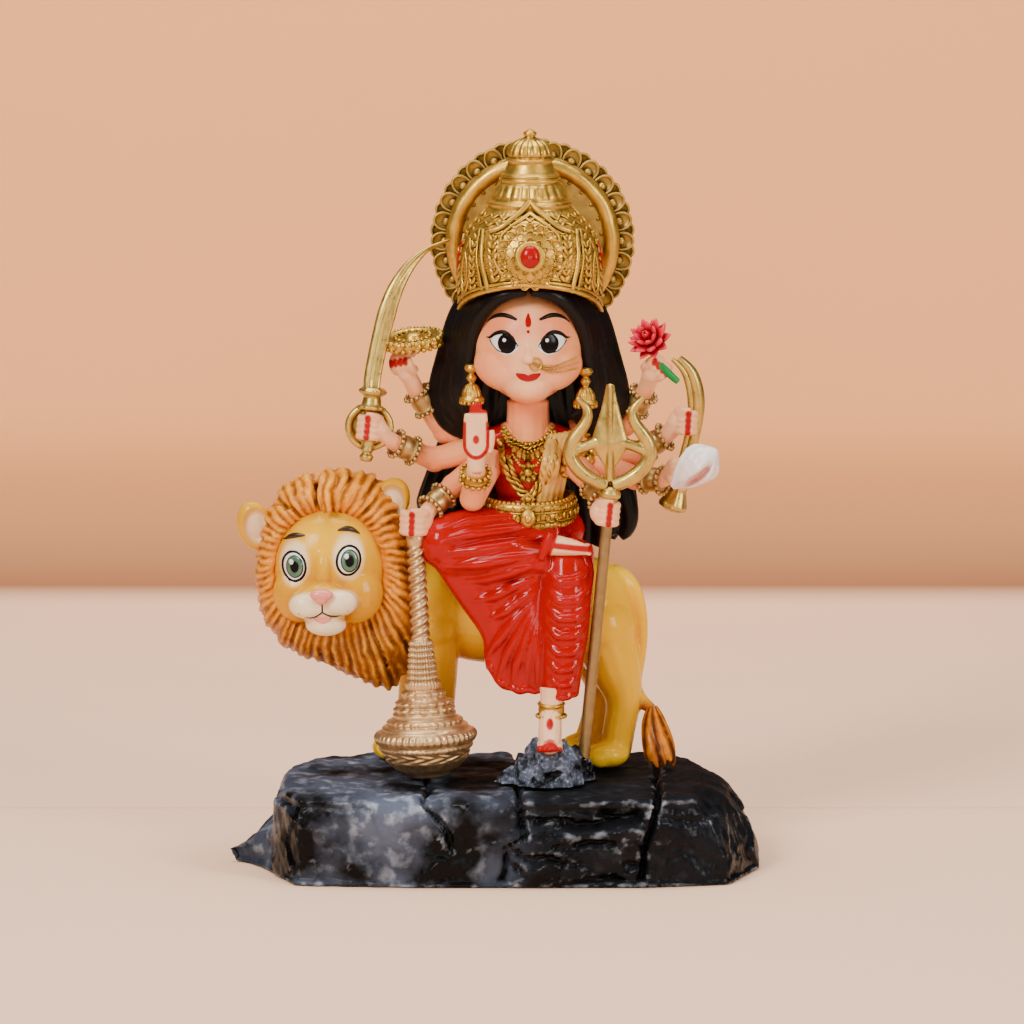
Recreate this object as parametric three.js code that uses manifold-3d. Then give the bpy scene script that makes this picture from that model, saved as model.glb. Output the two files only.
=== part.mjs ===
// A painted cast-resin figurine: an eight-armed deity seated side-saddle on a standing lion, on a rock base.
// Every casting is its own solid. Castings are glued into one another with a small clearance, so each one is
// cut back from the neighbours that it is seated against. Millimetres, +Z up, the front faces -Y.
// The origin is on the flat underside of the rock base, at the middle of the whole figurine.
import * as THREE from "three";
import { mergeVertices } from "three/addons/utils/BufferGeometryUtils.js";
import Module from "manifold-3d";

const wasm = await Module();
wasm.setup();

// ---------------------------------------------------------------- driving dimensions
const GAP = 0.3; // glue clearance between two castings

const BASE_WIDTH = 118;
const BASE_DEPTH = 60;
const BASE_HEIGHT = 20;
const BASE_EDGE = 4; // rounding of the rock's top edge
const WEDGE_HEIGHT = 10; // the low pointed end of the rock
const FOOT_ROCK_RADIUS = 8.5;
const FOOT_ROCK_HEIGHT = 9;

const LION_LEG_HEIGHT = 20; // from the rock to the belly
const LION_BODY_RADIUS = 13.5;
const LION_BODY_LENGTH = 40;
const LION_LEG_RADIUS = 3.6;
const LION_PAW_RADIUS = 4.2;
const LION_FACE_RADIUS = 13;
const MANE_RADIUS = 16.5;
const EAR_RADIUS = 5.6;
const TAIL_RADIUS = 1.3;

const HIP_RADIUS = 8.4;
const THIGH_RADIUS = 6.8;
const SHIN_RADIUS = 5.6;
const TORSO_HEIGHT = 19.5; // waist to shoulders
const TORSO_RADIUS = 8.6;
const NECK_RADIUS = 4.4;
const HEAD_RADIUS = 12.6;
const UPPER_ARM_RADIUS = 2.9;
const WRIST_RADIUS = 2;
const FIST_RADIUS = 3.3;
const CUFF_WALL = 0.8;
const CUFF_SLACK = 0.45; // the forearm widens towards the elbow inside the cuff
const CUFF_RIM = 0.45;
const CUFF_LENGTH = 4.4;

const CROWN_RADIUS = 16.2;
const CROWN_HEIGHT = 43;
const HALO_RADIUS = 21.2;
const HALO_PETALS = 28;
const HALO_PETAL_RADIUS = 2.4;
const HALO_THICKNESS = 2.2;
const HALO_RING_RADIUS = 17.4;
const HALO_RING_TUBE = 1.9;
const BROW_ARCH = 10; // how far the crown's rim rises over the brow
const BROOCH_HEIGHT = 16.6; // on the crown, above its foot
const BROOCH_RADIUS = 5.6;

const TRIDENT_SHAFT_RADIUS = 1.15;
const TRIDENT_HEAD_WIDTH = 20;
const TRIDENT_HEAD_HEIGHT = 26;
const MACE_HEAD_RADIUS = 11.2;
const MACE_GRIP_RADIUS = 1.7;
const SWORD_WIDTH = 3.8;
const CHAKRA_RADIUS = 6.8;
const LOTUS_RADIUS = 4.6;
const BOW_ROD_RADIUS = 1.2;
const SOCKET_DEPTH = 3; // how far the trident's foot is let into the rock

// ---------------------------------------------------------------- finishes
const finish = (color, roughness, metalness = 0) =>
  new THREE.MeshStandardMaterial({ color, roughness, metalness });
const STONE = finish(0x2b2b2f, 0.45);
const FUR = finish(0xf0b428, 0.4);
const MANE = finish(0xb8641e, 0.5);
const SKIN = finish(0xf2b392, 0.45);
const CLOTH = finish(0xd01018, 0.35);
const SASH = finish(0xd9a520, 0.35, 0.3);
const GOLD = finish(0xc79a4e, 0.35, 0.8);
const HAIR = finish(0x1a1414, 0.4);
const GEM = finish(0xc80a14, 0.3);
const PETAL = finish(0xdf3348, 0.45);
const STEM = finish(0x2f8f4e, 0.5);
const SHELL = finish(0xf3dcd6, 0.4);

// ---------------------------------------------------------------- solids
const point = (x, y, z) => new THREE.Vector3(x, y, z);
const from = (anchor, x, y, z) => anchor.clone().add(point(x, y, z));

// A three.js geometry as a closed solid, turned outside out if its faces point in.
function solidOf(geometry) {
  const bare = geometry.clone();
  bare.deleteAttribute("normal");
  bare.deleteAttribute("uv");
  const merged = mergeVertices(bare, 1e-4);
  const make = (triVerts) =>
    new wasm.Manifold(
      new wasm.Mesh({
        numProp: 3,
        vertProperties: new Float32Array(merged.attributes.position.array),
        triVerts,
      }),
    );
  const faces = new Uint32Array(merged.index.array);
  const solid = make(faces);
  return solid.volume() < 0 ? make(faces.reverse()) : solid;
}

function geometryOf(solid) {
  const mesh = solid.getMesh();
  return new THREE.BufferGeometry()
    .setAttribute(
      "position",
      new THREE.BufferAttribute(new Float32Array(mesh.vertProperties), 3),
    )
    .setIndex(new THREE.BufferAttribute(new Uint32Array(mesh.triVerts), 1));
}

// A shape is a function of how much it grows all round, so that a clearance can be cut from its neighbours.
const placed = (geometry, place, turn = [0, 0, 0]) =>
  geometry
    .applyMatrix4(new THREE.Matrix4().makeRotationFromEuler(new THREE.Euler(...turn)))
    .translate(place.x, place.y, place.z);

const joined =
  (...shapes) =>
  (grow) =>
    shapes.map((shape) => shape(grow)).reduce((a, b) => a.add(b));

const without = (shape, cutter) => (grow) => shape(grow).subtract(cutter(-grow));

// An egg-shaped lump with three radii.
const ball =
  (centre, rx, ry, rz, { turn, around = 10, up = 6 } = {}) =>
  (grow) =>
    solidOf(
      placed(
        new THREE.SphereGeometry(1, around, up)
          .rotateX(Math.PI / 2)
          .scale(rx + grow, ry + grow, rz + grow),
        centre,
        turn,
      ),
    );

// The profile moved outwards by grow, square to its own line.
function offsetProfile(profile, grow) {
  return profile.map(([r, z], i) => {
    const [r0, z0] = profile[Math.max(i - 1, 0)];
    const [r1, z1] = profile[Math.min(i + 1, profile.length - 1)];
    const out = new THREE.Vector2(z1 - z0, r0 - r1).normalize();
    const end = r === 0;
    const along = i === 0 ? -1 : 1;
    return new THREE.Vector2(
      end ? 0 : Math.max(r + out.x * grow, 0.01),
      end ? z + along * grow : z + out.y * grow,
    );
  });
}

// A turned piece: [radius, height] pairs from its foot to its tip, both on the axis.
const turned =
  (place, profile, { turn, around = 16 } = {}) =>
  (grow) =>
    solidOf(
      placed(
        new THREE.LatheGeometry(offsetProfile(profile, grow), around).rotateX(Math.PI / 2),
        place,
        turn,
      ),
    );

// A limb: a round bar of changing radius along a smooth line, with domed ends.
// deep squeezes it from front to back. stations are [point, radius] pairs.
const limb =
  (stations, { around = 8, steps = 2, deep = 1 } = {}) =>
  (grow) => {
    const curve = new THREE.CatmullRomCurve3(stations.map(([p]) => p), false, "centripetal");
    const count = steps * (stations.length - 1);
    const frames = curve.computeFrenetFrames(count);
    const rows = [];
    for (let i = 0; i <= count; i++) {
      const k = Math.min(Math.floor(i / steps), stations.length - 2);
      const share = i / steps - k;
      const radius = THREE.MathUtils.lerp(stations[k][1], stations[k + 1][1], share) + grow;
      const ring = { centre: curve.getPoint(i / count), frame: i, radius };
      const dome = (ahead, shrink) => ({
        centre: ring.centre.clone().addScaledVector(frames.tangents[i], ahead * radius),
        frame: i,
        radius: radius * shrink,
      });
      if (i === 0) rows.push(dome(-0.9, 0), dome(-0.6, 0.7));
      rows.push(ring);
      if (i === count) rows.push(dome(0.6, 0.7), dome(0.9, 0));
    }
    const bar = new THREE.LatheGeometry(
      rows.map((row, j) => new THREE.Vector2(row.radius, j)),
      around,
    );
    const spots = bar.getAttribute("position");
    for (let v = 0; v < spots.count; v++) {
      const row = rows[v % rows.length];
      const angle = (Math.floor(v / rows.length) / around) * 2 * Math.PI;
      const spoke = frames.normals[row.frame]
        .clone()
        .multiplyScalar(Math.cos(angle))
        .addScaledVector(frames.binormals[row.frame], Math.sin(angle))
        .multiplyScalar(row.radius);
      const deepen = row.radius > grow ? deep + (grow * (1 - deep)) / row.radius : deep;
      spots.setXYZ(
        v,
        row.centre.x + spoke.x,
        row.centre.y + spoke.y * deepen,
        row.centre.z + spoke.z,
      );
    }
    return solidOf(bar);
  };

// A flat piece cut to an outline in its own XY plane, thick along Z, then placed.
const plate =
  (outline, thickness, place, turn) =>
  (grow) => {
    const flat = new THREE.ExtrudeGeometry(new THREE.Shape(outline), {
      depth: thickness,
      bevelEnabled: grow !== 0,
      bevelThickness: grow,
      bevelSize: grow,
      bevelSegments: 1,
    }).translate(0, 0, -thickness / 2);
    return solidOf(placed(flat, place, turn));
  };

// A bracelet round a wrist between two points of it: a waisted collar with a rim at each end.
function cuff(below, above) {
  const turn = new THREE.Euler().setFromQuaternion(
    new THREE.Quaternion().setFromUnitVectors(point(0, 0, 1), above.clone().sub(below).normalize()),
  );
  const half = CUFF_LENGTH / 2;
  const outer = WRIST_RADIUS + CUFF_SLACK + CUFF_WALL;
  return turned(
    below.clone().lerp(above, 0.5),
    [[0, -half], [outer + CUFF_RIM, -half], [outer, 0], [outer + CUFF_RIM, half], [0, half]],
    { turn: turn.toArray().slice(0, 3), around: 9 },
  );
}

// ---------------------------------------------------------------- where things are
const rockTop = point(0, 0, BASE_HEIGHT);
const footRock = from(rockTop, 12, -13.5, 0);
const footRockTop = from(footRock, 0, 0, FOOT_ROCK_HEIGHT);
const spine = from(rockTop, 0, 14, LION_LEG_HEIGHT + LION_BODY_RADIUS);
const chest = from(spine, -LION_BODY_LENGTH / 2 + 3, -2, 2);
const rump = from(spine, LION_BODY_LENGTH / 2 + 2, 0, -0.5);
const lionFace = from(chest, -19.5, -13.5, 11);
const seat = from(spine, 8, -5, LION_BODY_RADIUS + 5.5);
const waist = from(seat, -0.5, -4, 4.5);
const shoulders = from(waist, 0, 0, TORSO_HEIGHT);
const head = from(shoulders, 0, -2.5, HEAD_RADIUS + 4.5);
const crownFoot = from(head, 0.4, 3, 6);
const halo = from(crownFoot, 0.6, 9.2, 16);
const knee = from(seat, -22.5, -11, -0.5);
const hangingKnee = from(seat, 9, -17, -6);
const ankle = from(footRockTop, 0.6, 2.2, 8);

const rightShoulder = from(shoulders, -7.4, 0, -2.6);
const leftShoulder = from(shoulders, 8.2, 0, -2.6);

// the eight arms
const arms = {
  sword: {
    shoulder: from(rightShoulder, -1.5, 1.5, -1),
    elbow: from(shoulders, -21.3, 0.5, -7.6),
    wrist: from(shoulders, -29.4, -3, -3),
    fist: from(shoulders, -35.6, -5, 0.6),
  },
  chakra: {
    shoulder: from(rightShoulder, -1.5, 3, 0.8),
    elbow: from(shoulders, -18.6, 4, -1.6),
    wrist: from(shoulders, -25.2, 1.5, 8.4),
    fist: from(shoulders, -27.5, 0.5, 14.6),
  },
  blessing: {
    shoulder: from(rightShoulder, 0.6, -3, -2.8),
    elbow: from(shoulders, -12.6, -8, -15.4),
    wrist: from(shoulders, -11.4, -12.6, -7.6),
    fist: from(shoulders, -11.4, -13.6, -0.5),
    folded: true,
  },
  mace: {
    shoulder: from(rightShoulder, -2, 0, -5.6),
    elbow: from(shoulders, -16.8, -3, -13.4),
    wrist: from(shoulders, -21.4, -6.6, -17.2),
    fist: from(shoulders, -25.2, -10, -19.6),
  },
  trident: {
    shoulder: from(leftShoulder, 1, -1, -3.6),
    elbow: from(shoulders, 13.8, -7.4, -11.6),
    wrist: from(shoulders, 16, -11, -14.6),
    fist: from(shoulders, 17.4, -13.6, -17),
  },
  conch: {
    shoulder: from(leftShoulder, 1.5, 1, -3.6),
    elbow: from(shoulders, 24.2, -2.5, -11.2),
    wrist: from(shoulders, 29.2, -5.5, -11),
    fist: from(shoulders, 34.6, -8.4, -9.2),
  },
  bow: {
    shoulder: from(leftShoulder, 1.5, 2.6, -1.4),
    elbow: from(shoulders, 24.6, 2, -6.4),
    wrist: from(shoulders, 30.2, 0.5, -2.4),
    fist: from(shoulders, 34.8, -0.8, 1.8),
  },
  lotus: {
    shoulder: from(leftShoulder, 1, 3.4, 1),
    elbow: from(shoulders, 21.8, 5, 0),
    wrist: from(shoulders, 25.6, 2, 7),
    fist: from(shoulders, 28.6, -0.5, 13),
  },
};

const tridentFoot = from(footRockTop, 7.6, 5.2, -SOCKET_DEPTH - 1.2);
const tridentNeck = from(arms.trident.fist, 0.5, -0.3, 4.2);
const maceFoot = from(rockTop, -14.7, -5.4, GAP);
const maceTop = from(arms.mace.fist, 0.3, 0, -FIST_RADIUS * 0.4);

// ---------------------------------------------------------------- the castings
const castings = [];
const figurine = new THREE.Group();
const groups = {};
for (const part of ["base", "lion", "body", "arms", "attributes"]) {
  groups[part] = new THREE.Group();
  figurine.add(groups[part]);
}

// Registers a casting, whose mesh is placed at home. The order is the order of fitting: a casting keeps its
// full shape against those made after it, and gives way to those made before it.
function casting(name, group, material, home, shape) {
  castings.push({ name, group, material, home, shape });
}

// -- what the hands hold
const swordGuard = from(arms.sword.fist, 0, 0, 4.2);
casting(
  "sword",
  "attributes",
  GOLD,
  arms.sword.fist,
  joined(
    limb(
      [
        [from(arms.sword.fist, -0.4, 0, -4.6), 1.5],
        [arms.sword.fist, 1],
        [from(swordGuard, 0, 0, -1), 1.2],
      ],
      { around: 7, steps: 1 },
    ),
    turned(swordGuard, [[0, -0.8], [3, -0.8], [2, 0.8], [2.2, 3.4], [0, 3.6]], { around: 8 }),
    limb(
      [
        [from(swordGuard, 0, 0, 2), SWORD_WIDTH * 0.5],
        [from(swordGuard, 1, 1.6, 12), SWORD_WIDTH * 0.5],
        [from(swordGuard, 4.4, 3.4, 23), SWORD_WIDTH * 0.46],
        [from(swordGuard, 9.4, 6, 31), SWORD_WIDTH * 0.38],
        [from(swordGuard, 14.6, 9, 34.6), SWORD_WIDTH * 0.2],
      ],
      { around: 6, steps: 2, deep: 0.5 },
    ),
  ),
);

// The mace leans a little, from its foot on the rock to its pommel under the hand.
const maceTurn = new THREE.Euler().setFromQuaternion(
  new THREE.Quaternion().setFromUnitVectors(
    point(0, 0, 1),
    maceTop.clone().sub(maceFoot).normalize(),
  ),
);
const maceLength = maceTop.distanceTo(maceFoot);
const maceProfile = [
  [0, 0],
  [3.6, 0],
  [7.6, 2],
  [MACE_HEAD_RADIUS * 0.88, 5.4],
  [MACE_HEAD_RADIUS, 9.2],
  [MACE_HEAD_RADIUS * 0.92, 11],
  [MACE_HEAD_RADIUS * 0.68, 14],
  [MACE_HEAD_RADIUS * 0.56, 17.6],
  [MACE_HEAD_RADIUS * 0.38, 20.4],
  [MACE_HEAD_RADIUS * 0.34, 23],
  [MACE_HEAD_RADIUS * 0.26, 26],
  [MACE_GRIP_RADIUS * 1.2, 33],
  [MACE_GRIP_RADIUS, maceLength - 5],
  [MACE_GRIP_RADIUS * 1.5, maceLength - 3.4],
  [MACE_GRIP_RADIUS * 1.5, maceLength - 1.6],
  [0, maceLength],
];
casting(
  "mace",
  "attributes",
  GOLD,
  maceFoot,
  turned(maceFoot, maceProfile, { turn: maceTurn.toArray().slice(0, 3), around: 16 }),
);

casting(
  "trident_shaft",
  "attributes",
  GOLD,
  tridentFoot,
  joined(
    limb(
      [
        [tridentFoot, TRIDENT_SHAFT_RADIUS],
        [tridentNeck, TRIDENT_SHAFT_RADIUS],
      ],
      { around: 8, steps: 1 },
    ),
    ball(from(tridentNeck, 0, 0, -0.4), 2, 2, 1.8, { around: 9, up: 6 }),
  ),
);
// Three prongs: a leaf-shaped blade between two arms that swing out and turn back like a lyre.
function tridentProng(side) {
  const w = TRIDENT_HEAD_WIDTH / 2 - 1.2;
  const foot = from(tridentNeck, 0.4, -0.3, 1.2);
  return limb(
    [
      [foot, 1.6],
      [from(foot, side * w * 0.78, 0, 2.4), 1.5],
      [from(foot, side * w, 0, 8), 1.3],
      [from(foot, side * w * 0.66, 0, 14), 1.1],
      [from(foot, side * w * 0.44, 0, 17), 0.9],
      [from(foot, side * w * 0.7, 0, 21), 0.4],
    ],
    { around: 6, steps: 1 },
  );
}
casting(
  "trident_head",
  "attributes",
  GOLD,
  tridentNeck,
  joined(
    tridentProng(-1),
    tridentProng(1),
    limb(
      [
        [from(tridentNeck, 0.4, -0.3, 1), 1.4],
        [from(tridentNeck, 1, -0.4, 8), 1.4],
        [from(tridentNeck, 1.4, -0.6, 12), 3.6],
        [from(tridentNeck, 2, -0.8, 18), 2],
          [from(tridentNeck, 2.6, -1, TRIDENT_HEAD_HEIGHT), 0.5],
      ],
      { around: 6, steps: 1, deep: 0.45 },
    ),
  ),
);

const lotusAt = from(arms.lotus.fist, -1.4, -2.4, 6.4);
casting(
  "lotus_flower",
  "attributes",
  PETAL,
  lotusAt,
  ball(lotusAt, LOTUS_RADIUS, LOTUS_RADIUS * 0.86, LOTUS_RADIUS, { up: 7 }),
);
casting(
  "lotus_stem",
  "attributes",
  STEM,
  arms.lotus.fist,
  limb(
    [
      [from(lotusAt, 0.4, 0.6, -1), 0.7],
      [from(arms.lotus.fist, 0, -1, 1), 0.7],
      [from(arms.lotus.fist, 4.6, -2.4, -2.8), 0.7],
    ],
    { around: 6, steps: 2 },
  ),
);
casting(
  "bow",
  "attributes",
  GOLD,
  arms.bow.fist,
  limb(
    [
      [from(arms.bow.fist, -0.4, 0, 15), BOW_ROD_RADIUS * 1.1],
      [from(arms.bow.fist, 2.6, 0, 9), BOW_ROD_RADIUS * 1.3],
      [from(arms.bow.fist, 2.4, 0, 2), BOW_ROD_RADIUS],
      [from(arms.bow.fist, 0.8, 0, -6), BOW_ROD_RADIUS],
      [from(arms.bow.fist, -0.4, 0, -13), BOW_ROD_RADIUS * 1.2],
      [from(arms.bow.fist, -2.2, 0, -17.6), BOW_ROD_RADIUS * 1.7],
    ],
    { around: 7, steps: 2 },
  ),
);
casting(
  "conch",
  "attributes",
  SHELL,
  from(arms.conch.fist, 2, -3, 1),
  joined(
    ball(from(arms.conch.fist, 1.6, -4.4, 1.8), 5, 3.2, 4, { turn: [0, 0.6, 0] }),
    limb(
      [
        [from(arms.conch.fist, 3, -4, 3), 1.6],
        [from(arms.conch.fist, 5.4, -3.6, 5.6), 0.6],
      ],
      { around: 7, steps: 1 },
    ),
  ),
);

// -- rock base
// A slab of rock with a flat underside and a rounded top edge, from an outline given in shares of the base.
const slab = (corners, height) => (grow) => {
  const outline = corners.map(
    ([x, y]) => new THREE.Vector2((x * BASE_WIDTH) / 2, (y * BASE_DEPTH) / 2),
  );
  const rock = new THREE.ExtrudeGeometry(new THREE.Shape(outline), {
    depth: height,
    bevelThickness: BASE_EDGE + grow,
    bevelSize: BASE_EDGE + grow,
    bevelOffset: -BASE_EDGE,
    bevelSegments: 2,
  }).translate(0, 0, -BASE_EDGE);
  const below = new THREE.BoxGeometry(BASE_WIDTH * 2, BASE_DEPTH * 2, BASE_HEIGHT * 2);
  return solidOf(rock).subtract(solidOf(below.translate(0, 0, -BASE_HEIGHT)));
};
casting(
  "rock_base",
  "base",
  STONE,
  point(0, 0, 0),
  joined(
    slab(
      [
        [-0.82, 0.3],
        [-0.84, -0.5],
        [-0.74, -0.92],
        [-0.3, -1],
        [0.56, -1],
        [0.88, -0.88],
        [1, -0.3],
        [1, 0.3],
        [0.86, 0.82],
        [0.6, 1],
        [-0.42, 1],
        [-0.72, 0.84],
      ],
      BASE_HEIGHT,
    ),
    slab([[-1, -0.1], [-0.66, -0.96], [-0.6, 0.9], [-0.84, 0.66]], WEDGE_HEIGHT),
  ),
);

// -- lion
casting(
  "lion_body",
  "lion",
  FUR,
  spine,
  limb(
    [
      [from(chest, 1, 0, 0), LION_BODY_RADIUS - 2.5],
      [from(spine, -5, 0, 0), LION_BODY_RADIUS - 0.6],
      [from(spine, 8, 0, 0), LION_BODY_RADIUS - 1.4],
      [from(rump, -4, 0, 0), LION_BODY_RADIUS - 2],
    ],
    { around: 12, deep: 0.76, steps: 2 },
  ),
);

function lionLeg(hip, hock, foot, thigh) {
  const toe = from(foot, -2.6, 0, LION_PAW_RADIUS * 0.55);
  return joined(
    limb(
      [
        [hip, thigh],
        [hock, LION_LEG_RADIUS],
        [from(foot, 0.4, 0, LION_PAW_RADIUS * 0.8), LION_LEG_RADIUS * 0.86],
      ],
      { around: 8, steps: 2 },
    ),
    ball(toe, LION_PAW_RADIUS * 1.2, LION_PAW_RADIUS * 0.86, LION_PAW_RADIUS * 0.8, {
      around: 8,
      up: 5,
    }),
  );
}

const nearSide = -4.6;
const farSide = 6.4;
const legs = {
  lion_near_foreleg: lionLeg(
    from(chest, 3, nearSide + 2, -5),
    from(rockTop, -12, 14 + nearSide + 1.4, 10),
    from(rockTop, -12.6, 14 + nearSide + 1.4, GAP),
    6.2,
  ),
  lion_far_foreleg: lionLeg(
    from(chest, 1, farSide, -5),
    from(rockTop, -18, 14 + farSide, 10),
    from(rockTop, -21.4, 14 + farSide, GAP),
    6.2,
  ),
  lion_near_hindleg: lionLeg(
    from(rump, 2.6, nearSide, -3),
    from(rockTop, 29, 14 + nearSide, 15),
    from(rockTop, 27, 14 + nearSide, GAP),
    7.4,
  ),
  lion_far_hindleg: lionLeg(
    from(rump, -1, farSide, -3),
    from(rockTop, 24.6, 14 + farSide, 15),
    from(rockTop, 21.4, 14 + farSide, GAP),
    7.4,
  ),
};
for (const [name, shape] of Object.entries(legs)) casting(name, "lion", FUR, rockTop, shape);

const tuftTop = from(rockTop, 35.6, 7.4, 13);
casting(
  "lion_tail",
  "lion",
  FUR,
  rump,
  limb(
    [
      [from(rump, 7.5, 0.5, 8.5), TAIL_RADIUS * 1.5],
      [from(rump, 12.2, 0.4, 0), TAIL_RADIUS * 1.3],
      [from(rump, 11.6, -1.6, -12), TAIL_RADIUS],
      [from(rump, 9.8, -3.4, -18), TAIL_RADIUS],
      [from(tuftTop, 0, 0, 1.2), TAIL_RADIUS],
    ],
    { around: 6, steps: 2 },
  ),
);
casting(
  "lion_tail_tuft",
  "lion",
  MANE,
  tuftTop,
  limb(
    [
      [tuftTop, 1.4],
      [from(tuftTop, -0.2, -0.8, -5.4), 3.6],
      [from(tuftTop, 1.2, -2, -9.6), 2.8],
      [from(tuftTop, 2, -2.8, -11.6), 1.1],
    ],
    { around: 8, steps: 2 },
  ),
);
casting(
  "lion_face",
  "lion",
  FUR,
  lionFace,
  joined(
    ball(lionFace, LION_FACE_RADIUS * 0.98, LION_FACE_RADIUS * 0.86, LION_FACE_RADIUS * 1.1, {
      turn: [0, -0.2, 0],
      around: 10,
      up: 8,
    }),
    ball(from(lionFace, -1.2, -9.2, -6.4), 7, 4.6, 5.6, { around: 9, up: 6 }),
  ),
);
casting(
  "lion_mane",
  "lion",
  MANE,
  from(lionFace, 2, 6, 0),
  joined(
    ball(from(lionFace, 0.6, 6.5, 2.4), MANE_RADIUS, 10.5, MANE_RADIUS * 1.24, { around: 10, up: 7 }),
    ball(from(lionFace, 7.6, 6, -11.5), MANE_RADIUS * 0.84, 9.6, MANE_RADIUS * 1.06, {
      turn: [0, 0.35, 0],
      around: 9,
      up: 6,
    }),
  ),
);
for (const [name, x, z, lean] of [
  ["lion_right_ear", -15.6, 8.4, 0.5],
  ["lion_left_ear", 13.2, 13.8, -0.5],
])
  casting(
    name,
    "lion",
    FUR,
    from(lionFace, x, 4, z),
    without(
      ball(from(lionFace, x, 4, z), EAR_RADIUS * 0.84, 2.6, EAR_RADIUS * 1.06, {
        turn: [0, lean, 0],
        around: 9,
      }),
      ball(from(lionFace, x * 0.96, 1.8, z - 0.6), EAR_RADIUS * 0.5, 1.7, EAR_RADIUS * 0.7, {
        turn: [0, lean, 0],
        around: 7,
        up: 5,
      }),
    ),
  );

// -- seated body
casting(
  "dhoti_folded_leg",
  "body",
  CLOTH,
  seat,
  joined(
    ball(from(seat, -0.5, -1, 0.4), HIP_RADIUS * 1.24, HIP_RADIUS * 0.96, HIP_RADIUS * 0.84, {
      around: 10,
      up: 7,
    }),
    limb(
      [
        [from(seat, 5.2, -7, -1), THIGH_RADIUS * 0.9],
        [from(seat, -8, -9.5, -0.6), THIGH_RADIUS * 1.06],
        [knee, THIGH_RADIUS * 0.94],
      ],
      { around: 10, steps: 2 },
    ),
  ),
);
casting(
  "dhoti_hanging_leg",
  "body",
  CLOTH,
  hangingKnee,
  limb(
    [
      [from(seat, 7, -10.5, -1.6), THIGH_RADIUS * 0.8],
      [hangingKnee, THIGH_RADIUS * 0.9],
      [hangingKnee.clone().lerp(ankle, 0.45), SHIN_RADIUS],
      [from(ankle, 0.3, 0.2, 4.4), SHIN_RADIUS * 0.5],
    ],
    { around: 10, steps: 2 },
  ),
);
casting(
  "dhoti_pleats",
  "body",
  CLOTH,
  from(seat, -3.5, -14.5, -18),
  joined(
    limb(
      [
        [from(seat, -14, -10.5, -5.5), 2.6],
        [from(seat, -6, -13.5, -14), 4],
        [from(seat, -3.4, -15.2, -24.5), 4.6],
      ],
      { around: 8, steps: 2, deep: 0.6 },
    ),
    limb(
      [
        [from(seat, -2, -14.5, -9), 4.2],
        [from(seat, -4, -15.4, -20), 5.2],
        [from(seat, -3.6, -15.8, -30), 5],
      ],
      { around: 8, steps: 2, deep: 0.55 },
    ),
  ),
);
casting(
  "standing_foot",
  "body",
  SKIN,
  ankle,
  joined(
    limb(
      [
        [from(ankle, 0, 0, 2.6), 2.3],
        [from(ankle, 0, -0.6, -4), 2.4],
        [from(ankle, -0.2, -3.4, -6.6), 2.3],
        [from(ankle, -0.4, -6.2, -8), 1.7],
      ],
      { around: 8, steps: 1 },
    ),
    ball(from(ankle, -0.4, -5.6, -7.6), 2.8, 2.2, 1.5, { around: 8, up: 5 }),
  ),
);
casting(
  "foot_rock",
  "base",
  STONE,
  footRock,
  joined(
    ball(footRock, FOOT_ROCK_RADIUS, 6.6, FOOT_ROCK_HEIGHT, { around: 9, up: 6 }),
    ball(from(footRock, 6.4, 5, 0), 4.6, 4.2, FOOT_ROCK_HEIGHT * 0.74, { around: 7, up: 4 }),
    ball(from(footRock, -8.2, 1.6, 0), 4.2, 3.4, FOOT_ROCK_HEIGHT * 0.45, { around: 6, up: 4 }),
  ),
);
casting(
  "anklet",
  "body",
  GOLD,
  ankle,
  turned(from(ankle, 0, -0.1, -0.6), [[0, -1.7], [3.4, -1.7], [3, 0], [3.4, 1.7], [0, 1.7]], {
    around: 10,
  }),
);
casting(
  "folded_foot",
  "body",
  SKIN,
  from(seat, 8, -18, -1),
  limb(
    [
      [from(seat, 3.4, -16, -0.8), 2.1],
      [from(seat, 8, -17.8, -0.4), 2.4],
      [from(seat, 12.6, -18, 0.1), 1.8],
    ],
    { around: 8, steps: 1 },
  ),
);
casting(
  "torso",
  "body",
  CLOTH,
  waist,
  limb(
    [
      [from(waist, 0, 0, -0.5), TORSO_RADIUS * 0.86],
      [from(waist, 0, 0, 6), TORSO_RADIUS * 0.82],
      [from(waist, 0, -0.4, 13.5), TORSO_RADIUS],
      [from(shoulders, 0, 0, -3.4), TORSO_RADIUS * 0.8],
    ],
    { around: 12, steps: 2, deep: 0.74 },
  ),
);
casting(
  "head",
  "body",
  SKIN,
  head,
  joined(
    ball(head, HEAD_RADIUS, HEAD_RADIUS * 0.94, HEAD_RADIUS * 1.02, { around: 12, up: 9 }),
    limb(
      [
        [from(shoulders, 0, 0, -1.6), NECK_RADIUS],
        [from(head, 0, 1, -HEAD_RADIUS + 2), NECK_RADIUS],
      ],
      { around: 9, steps: 1 },
    ),
  ),
);

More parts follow.
